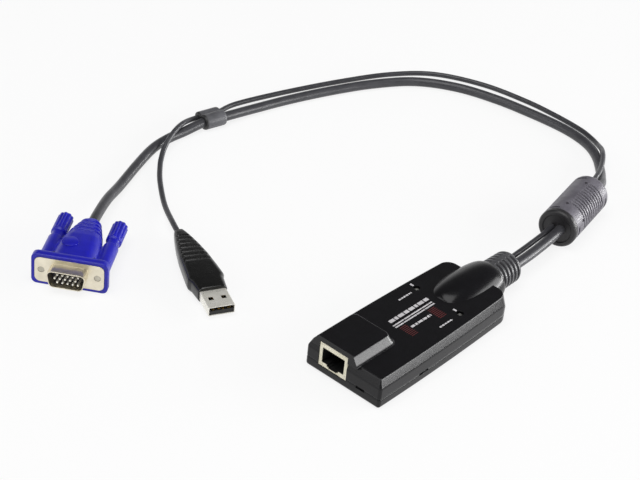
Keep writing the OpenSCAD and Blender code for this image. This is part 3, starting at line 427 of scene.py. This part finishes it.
USB_ROUTE = (
    start_of(USB_SIDE)
    + [beside(FERRITE_AT, FERRITE_TURN, FERRITE_L * s, 2.65) for s in (-0.52, 0, 0.52)]
    + [(148, 16.4, 8.9), (157, 20, 7.7), (165, 24.2, 7), (171.5, 28.4, 6.4), (177.4, 32.9, 4.6),
       (182.6, 38.4, 2.4), (186.6, 45, 1.5), (189.2, 54, 1.5), (190.6, 70, 1.5), (190.3, 90, 1.5),
       (186, 115, 1.5), (174.5, 138.5, 1.5), (156, 153.5, 1.5), (130, 165.5, 1.5), (98, 177, 1.5),
       (70, 183.3, 2.6)]
    + [beside(CLIP_AT, CLIP_TURN, CLIP_L * s, CLIP_SEP / 2) for s in (0.5, 0, -0.5)]
    + [(36.8, 184.3, 5.2), (31, 182.7, 6.5), (25.2, 180.7, 7), (19.9, 178.8, 6.5), (15, 177, 5),
       (10.6, 174.9, 3.2), (6.4, 172, 2), (1.5, 167.8, 1.5), (-8, 158, 1.5), (-20, 142.5, 1.5)]
    + [beside(USB_AT, USB_TURN, x, 0) for x in (USB_OUT + USB_HOOD_L + 8, USB_OUT + USB_HOOD_L - 5)]
)


def cable(name, route, diameter):
    """A round lead through the points of its route."""
    data = bpy.data.curves.new(name, "CURVE")
    data.dimensions = "3D"
    data.resolution_u = 12
    data.bevel_depth = diameter / 2 * MM
    data.bevel_resolution = 7
    data.use_fill_caps = True
    spline = data.splines.new("BEZIER")
    spline.bezier_points.add(len(route) - 1)
    points = [Vector(p) * MM for p in route]
    for i, p in enumerate(points):
        reach = (points[min(i + 1, len(points) - 1)] - points[max(i - 1, 0)]) / 6
        knot = spline.bezier_points[i]
        knot.handle_left_type = knot.handle_right_type = "FREE"
        knot.co = p
        knot.handle_left = p - reach
        knot.handle_right = p + reach
    obj = bpy.data.objects.new(name, data)
    bpy.context.scene.collection.objects.link(obj)
    return obj


video_lead = cable("video_lead", VIDEO_ROUTE, VIDEO_D)
usb_lead = cable("usb_lead", USB_ROUTE, USB_D)
wear(video_lead, CABLE, replaces=["vga_cable"])
wear(usb_lead, CABLE, replaces=["usb_cable"])

# Housing
def half_at(x):
    """Half the width of the body at a place along it: the sides bow very slightly."""
    return BODY_W / 2 - SIDE_BOW + math.sqrt(SIDE_BOW ** 2 - (x - WIDEST_X) ** 2)


def plan(inset):
    """The outline of the body from above, moved in by an inset."""
    rf, rr = max(FRONT_CORNER_R - inset, LEAST_R), max(REAR_CORNER_R - inset, LEAST_R)
    xf, xr = inset + rf, BODY_L - inset - rr
    yf, yr = half_at(xf) - inset - rf, half_at(xr) - inset - rr
    xs = [xf + (xr - xf) * i / 12 for i in range(1, 12)]
    return (arc(xf, -yf, rf, 180, 270, 8) + [(x, inset - half_at(x)) for x in xs]
        + arc(xr, -yr, rr, 270, 360, 20) + arc(xr, yr, rr, 0, 90, 20)
        + [(x, half_at(x) - inset) for x in reversed(xs)] + arc(xf, yf, rf, 90, 180, 8))


def ease(t):
    """From 0 to 1, soft at both ends."""
    t = min(max(t, 0), 1)
    return t * t * (3 - 2 * t)


def cover_rings(profile, drop=0):
    """Rings of the covers by pairs of height and inset; the band drops towards the rear corners."""
    drop_from, drop_run = 82, 8
    rings = []
    for z, inset in profile:
        w = ease((z - PARTING_Z) / (WALL_Z - PARTING_Z)) * ease((DECK_Z - z) / (DECK_Z - WALL_Z))
        ring = plan(inset)
        rings.append([(x, y, z - drop * w * ease((x - drop_from) / drop_run)) for x, y in ring])
    return rings


def fairing_radius(s):
    """The fairing's radius by its share of the length: it swells to its fullest, then closes."""
    start, fullest, power = DECK_Z - AXIS_Z - 0.35, 0.55, 2.4
    if s < fullest:
        return start + (FAIRING_R - start) * math.sqrt(1 - (1 - s / fullest) ** 2)
    closing = max(1 - ((s - fullest) / (1 - fullest)) ** power, 0)
    return FAIRING_NECK_R + (FAIRING_R - FAIRING_NECK_R) * math.sqrt(closing)


def fairing(name):
    """The fairing over the cable entry, a little wider than high."""
    x0, x1, steps = FAIRING_X, FAIRING_END_X, 48
    shares = [(1 - math.cos(math.pi * i / steps)) / 2 for i in range(steps + 1)]
    profile = [(x0, TINY)] + [(x0 + (x1 - x0) * s, fairing_radius(s)) for s in shares] + [(x1, TINY)]
    axis = IN_HOUSING @ Matrix.Translation((0, 0, AXIS_Z))
    return lathe_x(name, profile, axis @ Matrix.Diagonal((1, FAIRING_WIDE, 1, 1)), 96)


def block_ring(grow, z, front):
    """The outline of the raised block over the jack, at one height."""
    x1, y0, y1 = BLOCK_L + grow, BLOCK_Y - BLOCK_W / 2 - grow, BLOCK_Y + BLOCK_W / 2 + grow
    r = max(BLOCK_CORNER_R + grow / 2, LEAST_R)
    points = [(front, y0)] + arc(x1 - r, y0 + r, r, 270, 360, 10) + arc(x1 - r, y1 - r, r, 0, 90, 10)
    return [(x, y, z) for x, y in points + [(front, y1)]]


def opening_tools():
    """What is cut from both covers: the jack's window and the pry slots at the front and sides."""
    window = (-1, JACK_Y - JACK_W / 2, JACK_LOW), (JACK_DEPTH, JACK_Y + JACK_W / 2, JACK_HIGH)
    slot_low, slot_high, slot_deep = 4.2, 5.4, 0.7
    front_slot = (-1, -12, slot_low), (slot_deep, -7.4, slot_high)
    tools = [block("window", *window, IN_HOUSING), block("pry", *front_slot, IN_HOUSING)]
    slot_from, slot_to = 25.5, 31.5
    for side in (-1, 1):
        y = half_at((slot_from + slot_to) / 2) * side
        low, high = sorted((y - slot_deep * side, y + side))
        slot = (slot_from, low, slot_low), (slot_to, high, slot_high)
        tools.append(block("side_pry", *slot, IN_HOUSING))
    return tools


def build_top_cover():
    profile = soften([(PARTING_Z, 0.35), (PARTING_Z + 0.3, 0), (WALL_Z, 0), (DECK_Z, BEVEL_IN),
        (DECK_Z, 4.5)], 0.55, 5)
    top = loft("cover_top", cover_rings(profile, BAND_DROP), IN_HOUSING)
    rise = soften([(2.9, 13.2), (2.9, DECK_Z + 0.02), (2.25, DECK_Z + 0.35), (0, BLOCK_TOP_Z),
        (-1.6, BLOCK_TOP_Z)], 0.5, 5)
    edge = BLOCK_TOP_Z - 0.4
    rings = [block_ring(g, z, 0 if z < edge else 0.35 * (z - edge) / 0.4) for g, z in rise]
    hump = loft("hump", rings, IN_HOUSING)
    bulb = fairing("bulb")
    combine(bulb, [block("under", (-5, -30, -10), (BIG, 30, PARTING_Z), IN_HOUSING)], "DIFFERENCE")
    combine(top, [hump, bulb], "UNION")
    tools = opening_tools()
    for side in (-1, 1):
        y = side * LAMP_Y
        tools.append(pin("lamp_hole", (LAMP_X, y, 9), (LAMP_X, y, 20), LAMP_R, IN_HOUSING, 40))
    combine(top, tools, "DIFFERENCE")
    shade(top, sharp=28)
    weigh(top)
    wear(top, HOUSING, replaces=["top_cover"])


def build_bottom_cover():
    profile = soften([(0, 1.5), (0, 1.1), (1.1, 0), (PARTING_Z - 0.3, 0), (PARTING_Z, 0.35)], 0.6, 5)
    base = loft("cover_base", cover_rings(profile), IN_HOUSING)
    bulb = fairing("bulb_low")
    over = block("over", (-5, -30, PARTING_Z), (BIG, 30, 40), IN_HOUSING)
    below = block("below", (-5, -30, -10), (BIG, 30, 0), IN_HOUSING)
    combine(bulb, [over, below], "DIFFERENCE")
    combine(base, [bulb], "UNION")
    combine(base, opening_tools(), "DIFFERENCE")
    shade(base, sharp=28)
    weigh(base)
    wear(base, HOUSING, replaces=["bottom_cover"])


build_top_cover()
build_bottom_cover()


# Print on the deck, and painted glints at the lamp holes
def ink_and_glint_bars(name, boxes, material):
    """Thin flat bars on the deck: bars of ink, and the painted glints at the lamps."""
    below, above = 0.01, 0.012
    verts, faces = [], []
    for x0, y0, x1, y1 in boxes:
        base = len(verts)
        for z in (DECK_Z - below, DECK_Z + above):
            verts += [(x0, y0, z), (x1, y0, z), (x1, y1, z), (x0, y1, z)]
        faces += [(base + 3, base + 2, base + 1, base), (base + 4, base + 5, base + 6, base + 7)]
        faces += [(base + i, base + (i + 1) % 4, base + 4 + (i + 1) % 4, base + 4 + i) for i in range(4)]
    piece = make(name, verts, faces, IN_HOUSING, smooth=False)
    return wear(piece, material)


def dashes(x0, x1, y0, y1, lengths, gap):
    """A row of bars whose lengths repeat, with one gap between them."""
    out, x, i = [], x0, 0
    while x < x1 - 0.1:
        end = min(x + lengths[i % len(lengths)], x1)
        out.append((x, y0, end, y1))
        x = end + gap
        i += 1
    return out


def print_marks_and_glints():
    """Plain bars in white: a wide row, two fine rows and a short row of print, and a painted glint
    beside each lamp hole.
    """
    white = dashes(33.5, 59, 3.1, 4.9, [3.1, 1.7, 3.4, 2.6], 0.55)
    white += dashes(32.5, 58.5, 0.9, 1.6, [7.2, 4.1], 0.3)
    white += dashes(32.5, 58.5, -0.5, 0.2, [5.2, 8.4], 0.3)
    white += dashes(38, 51, -4.9, -3.7, [2.2, 1.4, 2.8], 0.5)
    white += dashes(48.5, 57, 11.1, 11.9, [1.5, 1.0, 1.2], 0.35)
    white += dashes(47, 55.5, -12.9, -12.1, [1.2, 1.5], 0.35)
    # Painted glints: one white bar just past each lamp hole, standing in for the light glinting in the
    # hole.
    white += [(60.9, 14.0, 61.9, 15.9), (60.9, -10.0, 61.9, -8.2)]
    ink_and_glint_bars("deck_marks", white, WHITE_INK_AND_GLINT)


def print_hatch():
    """Two patches of maroon lines."""
    line_w, pitch = 0.45, 0.95
    maroon = []
    for x0, x1, y0, y1 in ((33.5, 37.5, -8.6, -1.2), (52, 56.5, -8.6, -1.2)):
        y = y0
        while y < y1:
            maroon.append((x0, y, x1, y + line_w))
            y += pitch
    ink_and_glint_bars("deck_hatch", maroon, RED_INK)


print_marks_and_glints()
print_hatch()


# Boot
def build_boot():
    """The cable boot: grooves across it, cut by a plain strip above and below."""
    axis = IN_HOUSING @ Matrix.Translation((FAIRING_END_X + TINY, 0, AXIS_Z))
    length = BOOT_L - TINY
    grooves, pitch, width, depth, strip_half = 5, BOOT_L / 6.2, 1.15, 1.1, 1.0

    def radius(x, r, angle):
        cut = 0
        for i in range(1, grooves + 1):
            middle = pitch * i - 0.4
            cut = max(cut, ease((width / 2 + 0.22 - abs(x - middle)) / 0.44))
        near = min(abs((angle - a + 180) % 360 - 180) for a in (90, 270))
        strip = ease((math.radians(near) * r - strip_half) / 0.5)
        return r - depth * cut * strip

    steps = 150
    profile = [(0, TINY)]
    for i in range(steps + 1):
        x = length * i / steps
        r = BOOT_R + (BOOT_END_R - BOOT_R) * x / length
        left = length - x
        if left < BOOT_TIP_R:
            r -= BOOT_TIP_R - math.sqrt(max(BOOT_TIP_R ** 2 - (BOOT_TIP_R - left) ** 2, 0))
        profile.append((x, r))
    profile.append((length, TINY))
    boot = lathe_x("boot", profile, axis, 144, radius, sharp=50)
    wear(boot, BOOT_GREY, replaces=["cable_boot"])


build_boot()


# Ferrite
def ferrite_holes():
    """Four small round holes in the jacket."""
    inner, outer, hole_r = 8.3, 11, 0.75
    tools = []
    for x, angle in ((-10.5, 88), (11.0, 88), (-10.5, 158), (11.0, 158)):
        c, s = math.cos(math.radians(angle)), math.sin(math.radians(angle))
        ends = (x, c * inner, s * inner), (x, c * outer, s * outer)
        tools.append(pin("hole", *ends, hole_r, IN_FERRITE, 20))
    return tools


def ferrite_slots():
    """Four slots with rounded ends that run around the jacket."""
    inner, outer, slot_half, steps = 8.4, 10.5, 0.75, 10
    tools = []
    for x, low, high in ((-15.6, 45, 80), (-14.9, 165, 205), (15.4, 45, 80), (15.4, 165, 205)):
        rings = []
        for i in range(steps + 1):
            a = math.radians(low + (high - low) * i / steps)
            c, s = math.cos(a), math.sin(a)
            w = slot_half * math.sqrt(max(1 - (2 * i / steps - 1) ** 4, 0.05))
            rings.append([(x - w, c * inner, s * inner), (x + w, c * inner, s * inner),
                (x + w, c * outer, s * outer), (x - w, c * outer, s * outer)])
        tools.append(loft("slot", rings, IN_FERRITE, smooth=False))
    return tools


def build_ferrite():
    """The jacket: a tube with fine grooves around it, left plain in two bands along it."""
    half, bore, tip = FERRITE_L / 2, 4.2, 2.8
    grooves, pitch, depth = 11, 2.05, 0.7
    bands, band_half, band_fade = (66, 246), 24, 12

    def radius(x, r, angle):
        if abs(x) > half - 1.5:
            return r
        cut = 0
        for i in range(grooves):
            middle = 1 + (i - (grooves - 1) / 2) * pitch
            cut = max(cut, ease((0.5 - abs(x - middle)) / 0.26))
        fade = 1
        for band in bands:
            away = abs((angle - band + 180) % 360 - 180)
            fade *= ease((away - band_half) / band_fade)
        return r - depth * cut * fade

    near = soften([(-half + 0.9, bore), (-half + 0.9, 6.9), (-half, 7.3), (-half, 8.7),
        (-half + 0.9, FERRITE_R)], 0.3, 3)
    steps = 190
    long = [(-half + 1.2 + (FERRITE_L - 4.2) * i / steps, FERRITE_R) for i in range(steps + 1)]
    far = []
    for degrees in range(5, 91, 5):
        a = math.radians(degrees)
        far.append((half - tip + tip * math.sin(a), FERRITE_R - tip * (1 - math.cos(a))))
    profile = near + long + far + [(half, bore)]
    jacket = lathe_x("ferrite_case", profile, IN_FERRITE, 160, radius, sharp=50)
    combine(jacket, ferrite_holes() + ferrite_slots(), "DIFFERENCE")
    shade(jacket, sharp=50)
    wear(jacket, FERRITE_GREY, replaces=["ferrite_jacket"])
    return jacket


ferrite = build_ferrite()


# Clip
def build_clip():
    """A short double tube around both leads: the outline of two circles, eased where they meet."""
    steps = 64
    outline = []
    for i in range(steps):
        a = 2 * math.pi * i / steps
        best = 0
        for y, r in ((-CLIP_SEP / 2, CLIP_VIDEO_R), (CLIP_SEP / 2, CLIP_USB_R)):
            b = y * math.cos(a)
            inside = r * r - y * y + b * b
            if inside > 0:
                best = max(best, b + math.sqrt(inside))
        outline.append((a, best))
    smooth = []
    for i, (a, r) in enumerate(outline):
        near = [outline[(i + k) % steps][1] for k in (-1, 0, 1)]
        smooth.append((a, sum(near) / 3))
    half = CLIP_L / 2
    profile = soften([(-half, 0.1), (-half, 0.86), (-half + 0.5, 1.0), (half - 0.9, 1.0),
        (half, 0.80), (half, 0.1)], 0.7, 5)
    rings = [[(x, r * k * math.cos(a), r * k * math.sin(a)) for a, r in smooth] for x, k in profile]
    clip = loft("clip", rings, IN_CLIP, sharp=50)
    wear(clip, CLIP_GREY, replaces=["cable_clip"])
    return clip


clip = build_clip()


# Video plug
def share_at(shares, t):
    """Width and height at a place along a hood, straight between the rows of its table."""
    k = max(j for j in range(len(shares) - 1) if shares[j][0] <= t)
    a, b = shares[k], shares[k + 1]
    u = (t - a[0]) / (b[0] - a[0])
    return a[1] + (b[1] - a[1]) * u, a[2] + (b[2] - a[2]) * u


def build_video_dome():
    """The hood's body, narrowing towards the lead, with four ribs before its end."""
    shares = [(0, 0.60, 0.86), (0.16, 0.59, 0.86), (0.35, 0.57, 0.84), (0.52, 0.53, 0.80),
        (0.66, 0.45, 0.72), (0.79, 0.37, 0.66), (0.90, 0.30, 0.58), (1, 0.235, 0.50)]
    start, ribs_from, rib_h = 4, 25.8, 0.9
    rings = []
    steps = 90
    for i in range(steps + 1):
        t = i / steps
        wide, high = share_at(shares, t)
        w, h = wide * RIM_W, high * RIM_H
        x = start + (HOOD_L - start) * t
        rib = 0
        for middle in (27.5, 30.6, 33.7, 36.8):
            rib = max(rib, ease((0.95 - abs(x - middle)) / 0.5))
        grow = rib_h * (rib - 0.5) if x > ribs_from else 0
        if i == steps:
            grow -= 0.5
        rings.append([(x, y, z) for y, z in rounded(w + grow, h + grow, min(w, h) * 0.42, 10)])
    return loft("dome", rings, IN_VIDEO)


def build_video_hood():
    """The rim and the body, a sleeve for each thumb screw and a web between, and a bare round mark."""
    rim = [(0.2, 33.6, 15.2), (0.45, RIM_W, RIM_H), (3.3, RIM_W, RIM_H), (3.7, 33.6, 15.2),
        (3.9, 32.6, 14.4), (4.5, 32.4, 14.2)]
    rings = [[(x, y, z) for y, z in rounded(w, h, 2.5)] for x, w, h in rim]
    hood = loft("video_hood", rings, IN_VIDEO)
    parts = [build_video_dome()]
    sleeve = soften([(3.5, 0.1), (3.5, 3.6), (23.5, 3.5), (23.5, 0.1)], 0.5, 4)
    for side in (-1, 1):
        axis = IN_VIDEO @ Matrix.Translation((0, side * SCREW_Y, 0))
        parts.append(lathe_x("boss", sleeve, axis, 48))
    web = [(4, 26, 6.4), (15, 25, 6), (20, 22, 5.4), (23, 17, 4.6)]
    rings = [[(x, y, z) for y, z in rounded(w, h, h * 0.35, 6)] for x, w, h in web]
    parts.append(loft("web", rings, IN_VIDEO))
    combine(hood, parts, "UNION")
    mark_x, mark_y, sides = 14.5, 3.6, 40
    turns = [2 * math.pi * i / sides for i in range(sides)]
    rings = [[(mark_x + r * math.cos(t), mark_y + r * math.sin(t), z) for t in turns]
        for r, z in ((3.6, 4), (3.6, 7.0), (3.3, 7.15))]
    combine(hood, [loft("mark", rings, IN_VIDEO)], "UNION")
    seat = [[(x, y, z) for y, z in rounded(31, 12.7, 2.5)] for x in (-1, 0.85)]
    tools = [loft("seat", seat, IN_VIDEO)]
    for side in (-1, 1):
        y = side * SCREW_Y
        tools.append(pin("bore", (0.5, y, 0), (40, y, 0), BORE_R, IN_VIDEO, 40))
    tools.append(block("pocket", (-1, -9.6, -4.9), (8.1, 9.6, 4.9), IN_VIDEO))
    combine(hood, tools, "DIFFERENCE")
    shade(hood, sharp=40)
    wear(hood, BLUE, replaces=["vga_hood"])
    return hood


def build_knob(side):
    """A thumb screw's knob: a plain shank and a fluted grip with a slot in its end."""
    word = "left" if side > 0 else "right"
    axis = IN_VIDEO @ Matrix.Translation((0, side * SCREW_Y, 0))
    shank_r, grip_r, grip_end_x = 2.9, 3.6, 41.2
    flutes, flute_depth, flutes_from = 10, 0.45, 28.8
    profile = soften([(9, 1.5), (9, shank_r), (27.6, shank_r), (28.2, grip_r), (40.5, grip_r),
        (grip_end_x, 3.0), (grip_end_x, 1.0)], 0.35, 3)

    def radius(x, r, angle):
        if x < flutes_from or r < 3:
            return r
        wave = (math.cos(math.radians(angle * flutes)) + 1) / 2
        return r - flute_depth * wave ** 2

    dense = []
    for (x0, r0), (x1, r1) in zip(profile, profile[1:]):
        n = 8 if x1 - x0 > 2 else 1
        dense += [(x0 + (x1 - x0) * i / n, r0 + (r1 - r0) * i / n) for i in range(n)]
    dense.append(profile[-1])
    knob = lathe_x(word + "_thumb_knob", dense, axis, 96, radius, sharp=45)
    combine(knob, [block("driver_slot", (40.3, -5, -0.55), (42, 5, 0.55), axis)], "DIFFERENCE")
    shade(knob, sharp=45)
    wear(knob, BLUE, body=word + "_thumb_screw", replaces=[word + "_knob"])
    return knob


hood = build_video_hood()
knobs = [build_knob(1), build_knob(-1)]


# USB plug
def build_usb_hood():
    """The hood of the USB plug: it narrows towards the lead, with shallow ridges along its top."""
    shares = [(0, 0.79, 0.90), (0.06, 0.83, 0.96), (0.15, 0.89, 1), (0.20, 1, 1), (0.25, 0.99, 1),
        (0.36, 0.93, 1), (0.55, 0.82, 0.94), (0.72, 0.66, 0.84), (0.85, 0.50, 0.74), (0.95, 0.36, 0.62),
        (1, 0.27, 0.52)]
    crown_h, ridge_depth = 0.25, 0.55
    rings = []
    steps = 140
    for i in range(steps + 1):
        t = i / steps
        wide, high = share_at(shares, t)
        w, h = wide * USB_HOOD_W, high * USB_HOOD_H
        x = USB_OUT + USB_HOOD_L * t
        cut = 0
        for middle in (33, 36.4, 39.8, 43.2, 46.6, 50, 53.4):
            cut = max(cut, ease((0.75 - abs(x - middle)) / 0.55))
        if i in (0, steps):
            w -= 0.5
            h -= 0.5
        ring = []
        for y, z in rounded(w, h, h * 0.34, 8):
            top = ease((z - h * 0.2) / (h * 0.2)) if z > 0 else 0
            inner = ease((w * 0.40 - abs(y)) / 0.8)
            crown = crown_h * (1 - (2 * y / w) ** 2)
            dip = ridge_depth * cut * top * inner
            ring.append((x, y, z + crown - dip if z > 0 else z))
        rings.append(ring)
    hood = loft("usb_grip", rings, IN_USB)
    tools = [block("mouth", (USB_OUT - 1, -6.05, -2.3), (18.7, 6.05, 2.3), IN_USB)]
    combine(hood, tools, "DIFFERENCE")
    shade(hood, sharp=40)
    wear(hood, BLACK, replaces=["usb_hood"])
    return hood


usb_grip = build_usb_hood()

# Finishes of the carried solids
FINISHES = {
    "circuit_board": BOARD, "board_screws": STEEL, "controller_chip": CHIP, "video_chip": CHIP,
    "crystal_oscillator": STEEL, "board_capacitors": STEEL, "rj45_housing": CHIP, "rj45_shield": CREAM,
    "rj45_contacts": GOLD, "online_led": LENS, "power_led": LENS, "video_header": CREAM,
    "usb_header": CREAM, "lead_wires": CABLE, "ferrite_core": CHIP, "vga_shell": NICKEL,
    "vga_insulator": NAVY, "vga_pins": PLATE, "left_jackscrew": STEEL, "right_jackscrew": STEEL,
    "left_retaining_ring": STEEL, "right_retaining_ring": STEEL, "usb_shell": PLATE,
    "usb_insulator": CHIP, "usb_contacts": GOLD,
}
for name, finish in FINISHES.items():
    mesh = nodes[name].data
    mesh.materials.clear()
    mesh.materials.append(finish)


# Stage and light
def build_stage():
    """A white floor: it glows to the camera and in reflections, and takes soft shadows."""
    mesh = bpy.data.meshes.new("floor")
    reach = 6
    corners = [(-reach, -reach, 0), (reach, -reach, 0), (reach, reach, 0), (-reach, reach, 0)]
    mesh.from_pydata(corners, [], [(0, 1, 2, 3)])
    floor = bpy.data.objects.new("floor", mesh)
    bpy.context.scene.collection.objects.link(floor)
    floor.location.z = -0.00005
    mat = bpy.data.materials.new("floor_white")
    mat.use_nodes = True
    tree = mat.node_tree
    tree.nodes.clear()
    link = tree.links.new
    out = tree.nodes.new("ShaderNodeOutputMaterial")
    plain = add(tree, "ShaderNodeBsdfDiffuse", Color=(0.86, 0.86, 0.86, 1))
    glow = add(tree, "ShaderNodeEmission", Color=(1, 1, 1, 1), Strength=1.0)
    path = tree.nodes.new("ShaderNodeLightPath")
    both = add(tree, "ShaderNodeMath", operation="MAXIMUM")
    link(path.outputs["Is Camera Ray"], both.inputs[0])
    link(path.outputs["Is Glossy Ray"], both.inputs[1])
    three = add(tree, "ShaderNodeMath", operation="MAXIMUM")
    link(both.outputs[0], three.inputs[0])
    link(path.outputs["Is Transmission Ray"], three.inputs[1])
    share = add(tree, "ShaderNodeMath", operation="MULTIPLY")
    link(three.outputs[0], share.inputs[0])
    share.inputs[1].default_value = 0.82
    mix = tree.nodes.new("ShaderNodeMixShader")
    link(share.outputs[0], mix.inputs[0])
    link(plain.outputs[0], mix.inputs[1])
    link(glow.outputs[0], mix.inputs[2])
    link(mix.outputs[0], out.inputs["Surface"])
    mesh.materials.append(mat)


def soft_light(name, direction, distance, size, power, aim=(20, 80, 5)):
    """A rectangular light at a distance, in metres, from the place that it aims at."""
    data = bpy.data.lights.new(name, "AREA")
    data.shape = "RECTANGLE"
    data.size, data.size_y = size
    data.energy = power
    light = bpy.data.objects.new(name, data)
    bpy.context.scene.collection.objects.link(light)
    at = Vector(aim) * MM + Vector(direction).normalized() * distance
    light.location = at
    light.rotation_euler = (Vector(aim) * MM - at).to_track_quat("-Z", "Y").to_euler()
    return light


def build_world():
    """An even sky, bright above the horizon and dimmer overhead."""
    world = bpy.data.worlds.new("studio")
    bpy.context.scene.world = world
    world.use_nodes = True
    tree = world.node_tree
    tree.nodes.clear()
    link = tree.links.new
    out = tree.nodes.new("ShaderNodeOutputWorld")
    sky = tree.nodes.new("ShaderNodeBackground")
    coords = tree.nodes.new("ShaderNodeTexCoord")
    split = tree.nodes.new("ShaderNodeSeparateXYZ")
    link(coords.outputs["Generated"], split.inputs[0])
    link(span(tree, split.outputs["Z"], 0.10, 0.42, 0.95, 0.16), sky.inputs["Strength"])
    sky.inputs["Color"].default_value = (1, 1, 1, 1)
    link(sky.outputs[0], out.inputs["Surface"])


build_stage()
build_world()
soft_light("right_box", (0.66, -0.78, 0.30), 1.3, (1.2, 0.5), 10)
soft_light("low_strip", (0.76, -0.65, 0.05), 1.3, (1.7, 0.13), 13, aim=(0, -20, 8))
soft_light("top_box", (-0.25, -0.1, 1.0), 1.4, (1.2, 1.2), 14)
soft_light("left_box", (-0.9, 0.35, 0.45), 1.5, (0.9, 0.9), 4)

scene = bpy.context.scene
scene.view_settings.view_transform = "Standard"
